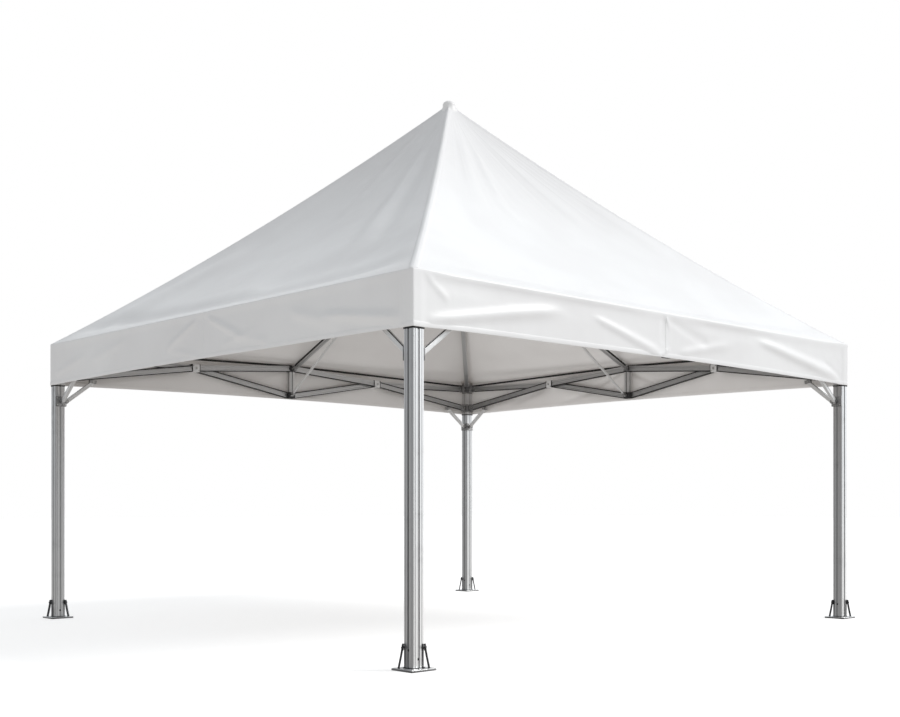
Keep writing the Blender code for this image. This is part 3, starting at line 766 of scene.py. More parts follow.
cornerSizes = {
    "bracket": 0.010,         # thickness of the plates that hug the leg's inner faces
    "lug": 0.046,
    "headLug": 2.348,
    "headLugSize": (0.064, 0.070),
    "shoe": 2.130,
    "shoePlate": 0.092,
    "shoeLug": (0.056, 0.066),
    "shoeShift": 0.004,
    "seat": (0.059, 0.056),   # the block under the hip tube's foot
    "knee": 1.915,
    "kneePlate": 0.086,
    "kneeReach": 0.270,
    "kneeSink": 0.005,        # how far below the bracket's middle the brace starts
    "kneeFall": 0.028,        # and how far below the truss bar it ends
    "braceLine": 0.014,       # how far inside the leg line the braces lie
    "brace": (0.028, 0.033),
    "braceChannel": (0.005, 0.020, 0.0015),
    "edge": (0.010, 0.004),   # dark line along the brace's outer edge
    "pad": (0.031, 0.032, 0.029),     # width, depth and half length of the block under the bar
    "padFall": 0.0195,
    "pin": 0.012,             # how far up the brace its pin stands, and half the length of its knuckle
    "pinHalf": 0.019,
    "endBolt": 0.008,
    "faceBolt": 0.007,
    "lugBolt": 0.009,
    "lugBoltAt": 0.026,       # how far from the leg's inner face
    "faceBolts": ((0.030, 0.036), (-0.030, 0.026)),   # heights about knee and shoe, and places across the leg
}


def plateShells(height, depth):
    # Two plates that hug the leg's inner faces
    thick = cornerSizes["bracket"]
    place = (-(legInner - hair - thick / 2), -(legLine - thick / 2), height)
    return paired([blockShell(place, (thick, 2 * legHalf + thick, depth), 0.002)])


def cornerCastings():
    # The head on the leg, with its two lugs and the seat of the hip tube, and the shoe below it
    s = cornerSizes
    headLow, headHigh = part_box("leg_head_front_left")
    lug = s["lug"]
    head = [blockShell((-legLine, -legLine, (headLow.z + headHigh.z) / 2),
                       (2 * legHalf, 2 * legHalf, headHigh.z - headLow.z), 0.003)]
    lugPlace = (-(legInner - lug / 2 + 0.002), -legLine, s["headLug"])
    head += paired([blockShell(lugPlace, (lug + 0.004, *s["headLugSize"]), 0.004)])
    outer, inner = rafter["foot"] + hair, legInner + 0.012
    seatPlace = (-(outer + inner) / 2, -(outer + inner) / 2, rafterFootHeight - 0.006)
    head.append(blockShell(seatPlace, ((inner - outer) * math.sqrt(2), *s["seat"]), 0.003, math.radians(45)))

    reach = lug - s["bracket"] / 2
    shoePlace = (-(legInner - s["bracket"] / 2 - reach / 2), -legLine + s["shoeShift"], s["shoe"])
    shoe = plateShells(s["shoe"], s["shoePlate"]) + paired([blockShell(shoePlace, (reach, *s["shoeLug"]), 0.004)])
    return head, shoe


def buildCorners():
    s = cornerSizes
    head, shoe = cornerCastings()
    line = -legLine + s["braceLine"]
    top = legInner - s["kneeReach"]
    slope = (s["shoe"] - truss["clampHeight"]) / (legInner - s["lug"] - truss["clamp"])
    under = s["shoe"] - slope * (legInner - s["lug"] - top) - truss["barDepth"] / 2 * math.hypot(1.0, slope)
    low = np.array([-(legInner - s["bracket"] - 0.004), line, s["knee"] - s["kneeSink"]])
    high = np.array([-top, line, under - s["kneeFall"]])
    along = unit(high - low)
    width, depth = s["brace"]
    brace = barShell(channelOutline(width, depth, *s["braceChannel"]), low, high)
    plug = roundedOutline(width - 0.002, depth - 0.002, 0.004)
    ends = [barShell(plug, low - along * 0.006, low + along * 0.004),
            barShell(plug, high - along * 0.004, high + along * 0.006)]
    edge = roundedOutline(*s["edge"], 0.001, 1) + [0.008, depth / 2 - 0.0015]
    ends.append(barShell(edge, low + along * 0.012, high - along * 0.006))
    pin = low + along * s["pin"]
    reach, rim = s["pinHalf"], s["pinHalf"] - 0.002
    knuckle = turnedShell([(0.015, -reach), (0.017, -rim), (0.017, rim), (0.015, reach)], pin, inwards)
    padWidth, padDepth, padHalf = s["pad"]
    padMiddle = np.array([-top, line, under - s["padFall"]])
    padEnd = np.array([padHalf, 0.0, slope * padHalf])
    pad = barShell(roundedOutline(padWidth, padDepth, 0.003), padMiddle - padEnd, padMiddle + padEnd)

    bolts = []
    for way in (-1, 1):
        bolts += boltShells(pin + inwards * way * s["pinHalf"], (0, way, 0), s["lugBolt"])
        bolts += boltShells(high + np.array([0, way * (width / 2 + 0.0005), 0.004]), (0, way, 0), s["endBolt"])
    (kneeRise, shoeRise), places = s["faceBolts"]
    for height in (s["knee"] - kneeRise, s["knee"] + kneeRise, s["shoe"] - shoeRise, s["shoe"] + shoeRise):
        for place in places:
            bolts += boltShells((-(legInner - s["bracket"]), -legLine + place, height), (1, 0, 0), s["faceBolt"])
    lugs = ((s["headLug"], s["headLugSize"][0] / 2, 0.0), (s["shoe"], s["shoeLug"][0] / 2, s["shoeShift"]))
    for height, half, shift in lugs:
        for way in (-1, 1):
            place = (-(legInner - s["lugBoltAt"]), -legLine + shift + way * half, height)
            bolts += boltShells(place, (0, way, 0), s["lugBolt"])

    bracket = plateShells(s["knee"], s["kneePlate"]) + paired([knuckle, pad])
    makeEach(cornerNames, (
        ("head_casting_", head, casting, "bracket_alloy", "leg_head_"),
        ("shoe_bracket_", shoe, casting, "bracket_alloy", "leg_shoe_"),
        ("knee_brace_", paired([brace]), litAlloy, "frame_aluminium", "knee_braces_"),
        ("knee_bracket_", bracket, casting, "bracket_alloy"),
        ("brace_ends_", paired(ends), blackened, "bracket_alloy"),
        ("corner_bolts_", paired(bolts), zinc, "frame_aluminium"),
    ))
    print("corner castings and knee braces done")


# Side trusses, built on the front side

level = np.array([1.0, 0.0, 0.0])
inwards = np.array([0.0, 1.0, 0.0])

truss = {
    "barDepth": 0.060,
    "barWidth": 0.028,
    "barChannel": (0.004, 0.026, 0.0035),
    "offset": 0.016,          # how far apart from the leg line crossing bars lie
    "upperHub": 2.396,
    "lowerHub": 2.126,
    "hub": (0.080, 0.060, 0.064),
    "post": 0.056,
    "postSlotShade": 0.010,        # black strips in the slots of the middle post, painted shade that darkens them
    # black strips along the bars' edges, painted shade in place of the shaded grooves there
    "bead": 0.009,
    "upperShadeStrip": 1.3,         # how much deeper the strip on an upper edge is
    "clamp": 1.10,
    "clampHeight": 2.318,
    "clampSize": (0.084, 0.068, 0.074),
    "rubber": 0.007,
    "hubDisc": (0.018, 0.001),        # radius of the boss on a hub, and how far it is let in
    "clampDisc": (0.019, 0.002),
    "discBolt": 0.010,
    "clampBolts": (0.028, 0.024),     # how far along and up from the boss the clamp's two small bolts stand
    "clampBolt": 0.006,
    "cheekBolt": 0.007,
    "cheek": 0.036,           # casting at a bar's far end
    "strapLine": 0.006,       # the strap lies this far outside the leg line
    "strapEnds": (2.382, 2.4275),
    "strapDepth": 0.020,
}


def discShell(radius, sunk, place):
    # Low round boss on an inner face, let into it a little, with its rim drawn in
    return turnedShell([(radius, -sunk), (radius, 0.003), (radius - 0.0015, 0.0042)], place, inwards)


def buildTrusses():
    t = truss
    line = -legLine
    section = channelOutline(t["barWidth"], t["barDepth"], *t["barChannel"])
    barEnd = legInner - cornerSizes["lug"] - hair
    postRise = [(0, line, t["lowerHub"]), (0, line, t["upperHub"])]
    posts = [barShell(legOutline() * (t["post"] / (2 * legHalf)), *postRise)]
    bars, shadeStrips, hubs, clamps, castings, bolts, straps, inserts = ([] for _ in range(8))
    # black strips in the post's slots: painted shade
    for size in ((t["postSlotShade"], t["post"] - 0.0015), (t["post"] - 0.0015, t["postSlotShade"])):
        inserts.append(barShell(roundedOutline(*size, 0.0005, 1), *postRise))
    for height in (t["lowerHub"], t["upperHub"]):
        face = np.array([0.0, line + t["hub"][1] / 2, height])
        hubs += [blockShell((0, line, height), t["hub"], 0.006), discShell(*t["hubDisc"], face)]
        inserts.append(turnedShell([(0.0125, 0.003), (0.0125, 0.005)], face, inwards))
        bolts += boltShells(face + inwards * 0.004, inwards, t["discBolt"])
    clampLength, clampWidth, clampDepth = t["clampSize"]
    for mirror in (-1, 1):
        middle = np.array([mirror * t["clamp"], line, t["clampHeight"]])
        face = middle + inwards * clampWidth / 2
        clamps += [blockShell(middle, t["clampSize"], 0.007), discShell(*t["clampDisc"], face)]
        bolts += boltShells(face + inwards * 0.004, inwards, t["discBolt"])
        for side in (-1, 1):
            # dark rubber between the clamp and the bars at both of its ends
            place = middle + level * side * (clampLength / 2 - 0.002)
            inserts.append(blockShell(place, (t["rubber"], clampWidth + 0.002, clampDepth + 0.002), 0.002))
            along, upward = t["clampBolts"]
            place = face + np.array([side * along, 0.0, side * mirror * upward])
            bolts += boltShells(place, inwards, t["clampBolt"])
        for offset, nearHeight, farHeight in (
            (t["offset"], t["upperHub"], cornerSizes["shoe"]),
            (-t["offset"], t["lowerHub"], cornerSizes["headLug"]),
        ):
            near = (mirror * (t["hub"][0] / 2 - 0.006), line + offset, nearHeight)
            kink = (mirror * t["clamp"], line + offset, t["clampHeight"])
            far = (mirror * barEnd, line + offset, farHeight)
            bars += [barShell(section, near, kink), barShell(section, kink, far, None, level)]
            # painted shade: black strips along the bars' edges stand in for their shaded grooves, a fine one below,
            # and a deeper one above where a bar lies low
            for ends, low in (((near, kink), offset < 0), ((kink, far), offset > 0)):
                for way, depth in [(-1, t["bead"])] + [(1, t["bead"] * t["upperShadeStrip"])] * low:
                    shift = [0.0, way * (t["barDepth"] / 2 - depth / 2 + 0.001)]
                    shadeStrips.append(barShell(roundedOutline(t["barWidth"] + 0.002, depth, 0.001, 1) + shift, *ends))
            fall = (farHeight - t["clampHeight"]) / (barEnd - t["clamp"])
            half = t["cheek"] / 2
            cheek = np.array([mirror * (barEnd - half), line + offset, farHeight - fall * half])
            castings.append(blockShell(cheek, (t["cheek"], t["barWidth"] + 0.006, t["barDepth"] + 0.004), 0.002))
            bolts += boltShells(cheek + inwards * (t["barWidth"] / 2 + 0.003), inwards, t["cheekBolt"])
        low, high = t["strapEnds"]
        strapLine = line - t["strapLine"]
        straps.append(barShell(roundedOutline(0.0022, t["strapDepth"], 0.0008, 1),
                               (mirror * legInner, strapLine, low), (0, strapLine, high), level, level))
    makeEach(sideNames, (
        ("truss_bars_", bars, shadedAlloy, "frame_aluminium", "side_truss_"),
        ("truss_post_", posts, aluminium, "frame_aluminium"),
        ("truss_beads_", shadeStrips, blackened, "frame_aluminium"),
        ("truss_hubs_", hubs, blackened, "bracket_alloy"),
        ("truss_clamps_", clamps, litAlloy, "bracket_alloy"),
        ("truss_castings_", castings, casting, "bracket_alloy"),
        ("truss_inserts_", inserts, plastic, "bracket_alloy"),
        ("truss_bolts_", bolts, zinc, "frame_aluminium"),
        ("eave_strap_", straps, webbingFinish, "cover_fabric"),
    ))
    print("side trusses done")


# Roof frame

rafter = {"width": 0.045, "channel": (0.004, 0.018, 0.0015), "foot": 2.372, "head": 0.066}
rafterLow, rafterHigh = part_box("hip_rafter_front_left")
rafterRun = (rafter["foot"] - rafter["head"]) * math.sqrt(2)
rafterTube = rafter["width"] / 2
# The tube's ends are cut upright, so its half height there is the half width stretched by its slope
rafterRise = (rafterHigh.z - rafterLow.z) / rafterRun
for _ in range(4):
    rafterRise = (rafterHigh.z - rafterLow.z - 2 * rafterTube * math.hypot(1.0, rafterRise)) / rafterRun
rafterFootHeight = rafterLow.z + rafterTube * math.hypot(1.0, rafterRise)
rafterHeadHeight = rafterHigh.z - rafterTube * math.hypot(1.0, rafterRise)

# A strut runs from one of a side truss's hubs to a height on the king post
struts = {
    "hubWidth": 0.110,
    "hubRound": 0.003,
    "apart": 0.001,
    "fork": 0.042,            # length of the castings at the struts' ends
    "main": {"way": -1, "from": "upperHub", "to": 3.450, "size": (0.030, 0.042), "channel": (0.004, 0.020, 0.0018)},
    "light": {"way": 1, "from": "lowerHub", "to": 3.740, "size": (0.020, 0.020), "channel": (0.003, 0.008, 0.0012)},
    "band": (0.003, 0.019, 0.002),    # how much wider than the main strut it is, its depth and its rounding
    "bandSunk": 0.008,
    "pin": 0.011,             # bolt where the struts of a side cross, and where its two ends stand
    "pinReach": (-0.031, 0.027),
}

# Radius and height of the king post, above its lower end and below its upper one
kingPost = {
    "lower": ((0.026, 0.0), (0.030, 0.002)),
    "upper": ((0.030, 0.062), (0.036, 0.048), (0.0365, 0.020), (0.034, 0.014), (0.026, 0.005), (0.012, 0.0)),
}


def hubCasting(node):
    # A merged copy of a hub's solid, whose edges a Bevel rounds
    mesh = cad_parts[node].data.copy()
    mesh.name = node + "_casting"
    piece = addObject(mesh.name, mesh)
    shape = bmesh.new()
    shape.from_mesh(mesh)
    bmesh.ops.remove_doubles(shape, verts=shape.verts, dist=0.00002)
    bmesh.ops.dissolve_limit(shape, angle_limit=math.radians(1.0), verts=shape.verts, edges=shape.edges)
    shape.to_mesh(mesh)
    shape.free()
    mesh.materials.clear()
    mesh.materials.append(casting)
    bevel = piece.modifiers.new("round", "BEVEL")
    bevel.width = struts["hubRound"]
    bevel.segments = 2
    bevel.limit_method = "ANGLE"
    bevel.angle_limit = math.radians(25)
    mesh.shade_smooth()
    return registered(piece, [node])


def buildStruts():
    s = struts
    trussFace = legLine - truss["hub"][1] / 2 - hair
    hubFace = s["hubWidth"] / 2 + hair
    tubes, forks, fixings, ends, rises = [], [], [], [], []
    for strut in (s["main"], s["light"]):
        width, depth = strut["size"]
        line = strut["way"] * (width / 2 + s["apart"])
        low, high = truss[strut["from"]], strut["to"]
        ends.append(((line, -trussFace, low), (line, -hubFace, high), inwards, inwards))
        tubes.append(barShell(channelOutline(width, depth, *strut["channel"]), *ends[-1]))
        rises.append(high - low)
        half = s["fork"] / 2 + 0.001
        step = half * (high - low) / (trussFace - hubFace)
        for place, height in ((-trussFace + half, low + step), (-hubFace - half, high - step)):
            forks.append(blockShell((line, place, height), (width + 0.006, s["fork"], depth + 0.016), 0.003))
            for way in (-1, 1):
                fixings += boltShells((line + way * (width / 2 + 0.003), place, height), (way, 0, 0), 0.007)
    # a black band lies over the main strut's upper edge
    width, depth = s["main"]["size"]
    wider, bandDepth, rounding = s["band"]
    saddle = roundedOutline(width + wider, bandDepth, rounding) + [0.0, depth / 2 - s["bandSunk"]]
    share = (truss["upperHub"] - truss["lowerHub"]) / (rises[1] - rises[0])
    crossing = np.array([0.0, -trussFace + share * (trussFace - hubFace), truss["upperHub"] + share * rises[0]])
    pins = [boltShells(crossing + level * reach, (reach, 0, 0), s["pin"]) for reach in s["pinReach"]]
    makeEach(sideNames, (
        ("strut_main_", tubes[:1], shadedAlloy, "frame_aluminium", "roof_struts_"),
        ("strut_light_", tubes[1:], litAlloy, "frame_aluminium"),
        ("strut_band_", [barShell(saddle, *ends[0])], webbingFinish, "cover_fabric"),
        ("strut_forks_", forks, casting, "bracket_alloy"),
        ("strut_bolts_", pins[0] + pins[1] + fixings, zinc, "frame_aluminium"),
    ))


def buildRoofFrame():
    tube = channelOutline(rafter["width"], rafter["width"], *rafter["channel"])
    foot, head = -rafter["foot"], -rafter["head"]
    diagonal = np.array([1.0, 1.0, 0.0]) / math.sqrt(2)
    hip = barShell(tube, (foot, foot, rafterFootHeight), (head, head, rafterHeadHeight), diagonal, diagonal)
    makeEach(cornerNames, (("hip_tube_", [hip], aluminium, "frame_aluminium", "hip_rafter_"),))
    buildStruts()
    postLow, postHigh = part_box("king_post")
    profile = [(radius, postLow.z + rise) for radius, rise in kingPost["lower"]]
    profile += [(radius, postHigh.z - fall) for radius, fall in kingPost["upper"]]
    post = turnedShell(profile, (0, 0, 0), sides=48)
    makePiece("king_post_tube", [post], aluminium, ["king_post"])
    for node in ("crown_hub", "lower_strut_hub", "upper_strut_hub"):
        hubCasting(node)
    print("roof frame done")


# Cover: one sheet over the roof and down the four valances

cover = {
    "half": 2.50,
    "eave": 2.42,
    "peak": 4.555,
    "sag": 0.085,
    "panelSag": 0.110,        # how much lower the middle of a panel hangs than its hips
    "hollow": (0.036, 0.922, 0.032),  # the dip just inside the eave: depth, share of the way out, and half width
    "drop": 0.36,
    "thick": 0.0012,
    "corner": 0.010,
    "cornerTurn": 0.006,      # how tightly the cloth turns over the eave at a corner
    "middleTurn": (0.028, 0.010, 0.028, 0.010),
    "hemRise": (0.028, 0.020, 0.028, 0.020),
    "nearRise": 0.012,        # how much higher the hem hangs at the near corner
    "press": 0.0055,          # how far a valance lies inside the eave's line
    "inwardLimit": 0.010,     # how far a fold may press it in towards the trusses
    "seam": (-0.065, 0.083, -0.065, 0.083),
    "tip": 0.018,
    "columns": 110,           # a side, on the roof
    "finer": 3,               # valance columns to each roof column
    "roofRows": 44,
    "turnRows": 4,
    "valanceRows": 17,
}

# Folds of a valance: along and height at both ends, half width, and depth, which is above 0 for a ridge
brightFolds = [
    (-2.37, 2.372, -0.30, 2.362, 0.045, -0.0130),
    (-2.43, 2.112, -1.10, 2.328, 0.026, 0.0160),
    (-2.41, 2.400, -2.20, 2.250, 0.013, 0.0070),
    (-0.90, 2.312, -0.09, 2.098, 0.020, 0.0130),
    (-0.11, 2.400, -0.10, 2.180, 0.018, -0.0070),
    (-0.03, 2.365, 0.46, 2.222, 0.018, -0.0110),
    (0.06, 2.130, 0.78, 2.262, 0.022, 0.0090),
    (0.30, 2.372, 1.40, 2.345, 0.030, -0.0110),
    (1.04, 2.340, 2.38, 2.115, 0.028, 0.0190),
    (2.10, 2.240, 2.42, 2.110, 0.016, -0.0060),
    (-0.09, 2.400, -0.02, 2.300, 0.010, 0.0060),
    (-0.16, 2.085, -0.02, 2.160, 0.010, 0.0060),
]
shadeFolds = [
    (1.58, 2.238, 2.44, 2.126, 0.022, 0.0240),
    (1.20, 2.300, 1.80, 2.150, 0.030, 0.0150),
    (0.13, 2.385, 0.62, 2.190, 0.016, 0.0190),
    (0.52, 2.205, 0.98, 2.118, 0.017, 0.0090),
    (0.34, 2.150, 0.80, 2.225, 0.015, 0.0080),
    (0.03, 2.380, -0.46, 2.180, 0.017, 0.0180),
    (-0.42, 2.185, 0.06, 2.095, 0.014, 0.0080),
    (-1.10, 2.330, -1.75, 2.200, 0.024, 0.0080),
    (-2.42, 2.150, -1.80, 2.260, 0.024, 0.0100),
    (2.36, 2.400, 2.38, 2.080, 0.012, 0.0060),
    (-2.30, 2.385, 2.30, 2.385, 0.030, -0.0040),
]
# Folds of a roof panel, given the same way by place along the side and distance out from the middle
brightCreases = [
    (-0.20, 0.375, -0.86, 1.30, 0.040, 0.0150),
    (-0.13, 0.445, -0.49, 1.21, 0.034, 0.0110),
    (-0.52, 1.120, -0.47, 1.45, 0.034, 0.0090),
    (-1.00, 1.150, -1.30, 1.75, 0.060, -0.0100),
    (0.10, 0.350, 0.50, 1.30, 0.060, 0.0100),
    (0.75, 0.900, 1.30, 1.60, 0.060, 0.0100),
    (-1.90, 2.100, 1.90, 2.100, 0.130, -0.0150),
]
shadeCreases = [
    (0.30, 0.550, 1.05, 1.82, 0.060, 0.0230),
    (0.50, 0.600, 1.36, 1.90, 0.060, -0.0220),
    (-0.12, 0.150, -0.02, 1.22, 0.034, 0.0190),
    (-0.08, 0.250, -0.30, 0.75, 0.035, -0.0140),
    (0.12, 0.200, 0.22, 0.80, 0.035, -0.0120),
    (0.20, 2.120, 2.12, 2.080, 0.130, -0.0320),
    (-0.95, 1.450, -1.85, 2.360, 0.110, 0.0340),
    (-0.55, 0.750, -0.85, 1.35, 0.070, 0.0120),
]
valanceFolds = (brightFolds, shadeFolds) * 2
roofFolds = (brightCreases, shadeCreases) * 2

# Places round the tent run from 0 to 4, a side each. The first and last columns of a side turn the corner
columnShare = 1.0 / cover["columns"]
coarseColumns = np.arange(4 * cover["columns"]) / cover["columns"]
fineColumns = np.arange(4 * cover["columns"] * cover["finer"]) / (cover["columns"] * cover["finer"])
eaveSlope = (cover["peak"] - cover["eave"] - 4 * cover["sag"]) / cover["half"]


def profileHeight(share):
    # The cover's height at a share of the way out: a straight fall from peak to eave less a parabola of sag
    return cover["peak"] - (cover["peak"] - cover["eave"]) * share - 4 * cover["sag"] * share * (1 - share)


def panelDip(share, across):
    # How much lower a panel hangs than the hips beside it: a parabola both ways
    return cover["panelSag"] * 4 * share * (1 - share) * (1 - across ** 2)


def quarterOf(sides):
    return np.floor(sides).astype(int) % 4


def bySide(sides, values):
    return np.array(values)[quarterOf(sides)]


def acrossOf(sides):
    # Share across its side, from -1 to 1, of a place round the tent
    return np.clip((sides % 1.0 - columnShare) / (1 - 2 * columnShare), 0, 1) * 2 - 1


def sideAt(quarter, across):
    # The place round the tent at a share across a side
    return quarter + columnShare + (across + 1) / 2 * (1 - 2 * columnShare)


def ringPlace(sides, reach, corner):
    # Columns on a square ring with round corners: their place in the side's own frame, and the outward direction
    share, edge = sides % 1.0, columnShare
    turn = (np.clip((edge - share) / edge, 0, 1) - np.clip((share - 1 + edge) / edge, 0, 1)) * math.pi / 4
    straight = reach - corner
    x = acrossOf(sides) * straight - corner * np.sin(turn)
    return x, -(straight + corner * np.cos(turn)), -np.sin(turn), -np.cos(turn)


def toWorld(sides, x, y, z):
    cosine, sine = np.moveaxis(quarterTurns[quarterOf(sides)], -1, 0)
    return np.stack([cosine * x - sine * y, sine * x + cosine * y, z + 0 * x], axis=-1)


def foldDepth(sides, along, height, lists):
    # Depth of each side's own folds. Each is a bell across its own line, and fades in and out along it
    total = 0.0
    for quarter, folds in enumerate(lists):
        depths = 0.0
        for x0, z0, x1, z1, width, depth in folds:
            length = math.hypot(x1 - x0, z1 - z0)
            ahead, upward = (x1 - x0) / length, (z1 - z0) / length
            run = ((along - x0) * ahead + (height - z0) * upward) / length
            off = ((height - z0) * ahead - (along - x0) * upward) / (width * (0.75 + 0.5 * np.clip(run, 0, 1)))
            fade = smooth(run, -0.04, 0.18) * (1 - smooth(run, 0.78, 1.04))
            depths = depths + depth * np.exp(-0.5 * off ** 2) * fade
        total = total + np.where(quarterOf(sides) == quarter, depths, 0.0)
    return total


def eaveArc(sides):
    # The cloth's turn over the eave, tight at corners and middle hub and easy between them: its radius, how far
    # inside the eave it starts, and the height of its centre
    middle = bySide(sides, cover["middleTurn"])
    easy = smooth(1 - np.abs(acrossOf(sides)), 0.03, 0.16)
    radius = cover["cornerTurn"] + (middle - cover["cornerTurn"]) * easy
    inset = radius * (1 - eaveSlope / math.hypot(1.0, eaveSlope))
    return radius, inset, profileHeight(1 - inset / cover["half"]) - radius / math.hypot(1.0, eaveSlope)


def roofPoints(sides, downShare):
    # The roof from the tip to where the cloth starts to turn over the eave; downShare is 0 at the tip and 1 there
    sides, downShare = np.broadcast_arrays(sides, downShare)
    across = acrossOf(sides)
    reach = cover["tip"] + (cover["half"] - eaveArc(sides)[1] - cover["tip"]) * downShare
    x, y, _, _ = ringPlace(sides, reach, np.minimum(cover["corner"], reach * 0.35))
    share = reach / cover["half"]
    depth, middle, width = cover["hollow"]
    z = profileHeight(share) - panelDip(share, across)
    z = z - depth * np.exp(-((share - middle) / width) ** 2) * (1 - across ** 8)
    # folds leave the hips and the eave where they are
    free = (1 - np.abs(across) ** 14) * smooth(1 - share, 0.0, 0.05)
    return toWorld(sides, x, y, z + foldDepth(sides, x, reach, roofFolds) * free)


def turnPoints(sides, share):
    # The round turn over the eave between roof and valance: share 0 lies on the roof and 1 on the valance
    sides, share = np.broadcast_arrays(sides, share)
    radius, _, middle = eaveArc(sides)
    angle = (1 - share) * math.atan2(1.0, eaveSlope)
    x, y, _, _ = ringPlace(sides, cover["half"] - radius + radius * np.cos(angle), cover["corner"])
    return toWorld(sides, x, y, middle + radius * np.sin(angle))


def valancePoints(sides, fall, lift=0.0, below=0.0):
    # The valance: fall is 0 where the cloth has turned over the eave and 1 at the hem.
    # Lift moves the place outwards, and below moves it down, for the hem and seams that lie on the cloth
    sides, fall = np.broadcast_arrays(sides, fall)
    across = acrossOf(sides)
    x, y, outX, outY = ringPlace(sides, cover["half"], cover["corner"])
    inside = 1 - np.abs(across)
    top = eaveArc(sides)[2]
    hemRise = bySide(sides, cover["hemRise"]) * (1 - across ** 2) * smooth(inside, 0.0, 0.10)
    nearRise = cover["nearRise"] * (1 - smooth(np.abs((sides + 2) % 4 - 2), 0.0, 0.35))
    bottom = cover["eave"] - cover["drop"] + cover["thick"] + hemRise + nearRise
    z = top + (bottom - top) * fall
    # folds leave the corners and the turn over the eave where they are
    free = smooth(fall, 0.0, 0.12) * smooth(inside, 0.026, 0.060)
    press = cover["press"] * smooth(inside, 0.020, 0.042) * smooth(fall, 0.0, 0.2)
    depth = foldDepth(sides, x, z, valanceFolds) * free - press
    limit = cover["inwardLimit"]
    depth = np.where(depth < 0, -limit * np.tanh(-depth / limit), depth) + lift
    return toWorld(sides, x + outX * depth, y + outY * depth, z - below)


def mapCorners(*corners):
    # Map of faces that are alike: each corner is a pair of places across and down, as arrays or numbers
    return np.stack([np.stack(np.broadcast_arrays(u, v), axis=-1) for u, v in corners], axis=1).reshape(-1, 2)


def sheetShell():
    # Roof, turn and valances in one. Each roof column meets a few finer ones at the eave in one many-sided face,
    # and a fan closes the tip under the cap
    c = cover
    total, finer = len(coarseColumns), c["finer"]
    steps = np.linspace(0.0, 1.0, c["roofRows"])
    rows = 0.35 * steps + 0.65 * (1 - (1 - steps) ** 1.7)      # rows lie closer together near the eave
    roof = roofPoints(coarseColumns[None, :], rows[:-1, None])
    fine = fineColumns[None, :]
    lower = np.concatenate([
        roofPoints(fine, np.ones((1, 1))),
        turnPoints(fine, np.linspace(0.0, 1.0, c["turnRows"] + 1)[1:, None]),
        valancePoints(fine, np.linspace(0.0, 1.0, c["valanceRows"] + 1)[1:, None]),
    ])
    after = np.append(coarseColumns[1:], 4.0)
    drop = 1.0 + np.arange(len(lower)) * (c["drop"] / len(lower))
    roofPart = gridShell(roof, np.append(coarseColumns, 4.0), rows[:-1])
    lowerPart = gridShell(lower, np.append(fineColumns, 4.0), drop)

    start = len(roofPart[0])
    tip = start + len(lowerPart[0])
    column = np.arange(total)
    following = (column + 1) % total
    above = (len(roof) - 1) * total
    below = start + (column[:, None] * finer + np.arange(finer + 1)) % (total * finer)
    joins = np.column_stack([above + column, below, above + following])
    fan = np.column_stack([np.full(total, tip), column, following])
    eaveMap = [(coarseColumns + step * columnShare / finer, 1.0) for step in range(finer + 1)]
    points = np.concatenate([roofPart[0], lowerPart[0], [[0.0, 0.0, profileHeight(0.0) - 0.006]]])
    lowerFaces = [[number + start for number in face] for face in lowerPart[1]]
    corners = np.concatenate([
        roofPart[2],
        lowerPart[2],
        mapCorners((coarseColumns, rows[-2]), *eaveMap, (after, rows[-2])),
        mapCorners(((after + coarseColumns) / 2, 0.0), (coarseColumns, 0.0), (after, 0.0)),
    ])
    return points, roofPart[1] + lowerFaces + joins.tolist() + fan.tolist(), corners


# The hem's section: how far out, how far down, and its place on the map
hemBand = ((-0.0030, -0.031, 0.0), (0.0012, -0.031, 0.004), (0.0019, -0.029, 0.006), (0.0019, -0.002, 0.033),
           (0.0009, 0.0011, 0.036), (-0.0022, 0.0011, 0.039), (-0.0034, -0.002, 0.043), (-0.0034, -0.029, 0.070))


def hemShell():
    # A folded band round the foot of the valances; its last face meets its first
    rings = np.stack([valancePoints(fineColumns, 1.0, lift, below) for lift, below, _ in hemBand])
    spread = fineColumns * 5.0
    places = np.array([place for _, _, place in hemBand])
    points, faces, corners = gridShell(rings, np.append(spread, 20.0), places)
    count = len(fineColumns)
    column = np.arange(count)
    after = (column + 1) % count
    last = (len(hemBand) - 1) * count
    closing = np.column_stack([last + column, column, after, last + after])
    closingMap = mapCorners((spread, 0.070), (spread, 0.074), (spread + 0.004, 0.074), (spread + 0.004, 0.070))
    return outward((points, faces + closing.tolist(), np.concatenate([corners, closingMap])))


# Half of each seam's section: how far from its middle line and how high above the cloth
seams = {
    "valance": ((0.0, 0.0015), (0.006, 0.0015), (0.0115, 0.0013), (0.0125, 0.0)),
    "hip": ((0.004, 0.0018), (0.018, 0.0018), (0.032, 0.0016), (0.034, 0.0)),
    "valanceFalls": (0.0, 0.93, 30),
    "hipRows": (0.035, 0.999, 60),
    "valanceSunk": 0.0006,
    "hipSunk": 0.0008,
}


def bothWays(half):
    # A seam's whole section from its half; a point on the middle line is not doubled
    return np.array([(-place, height) for place, height in half[::-1] if place] + list(half)).T


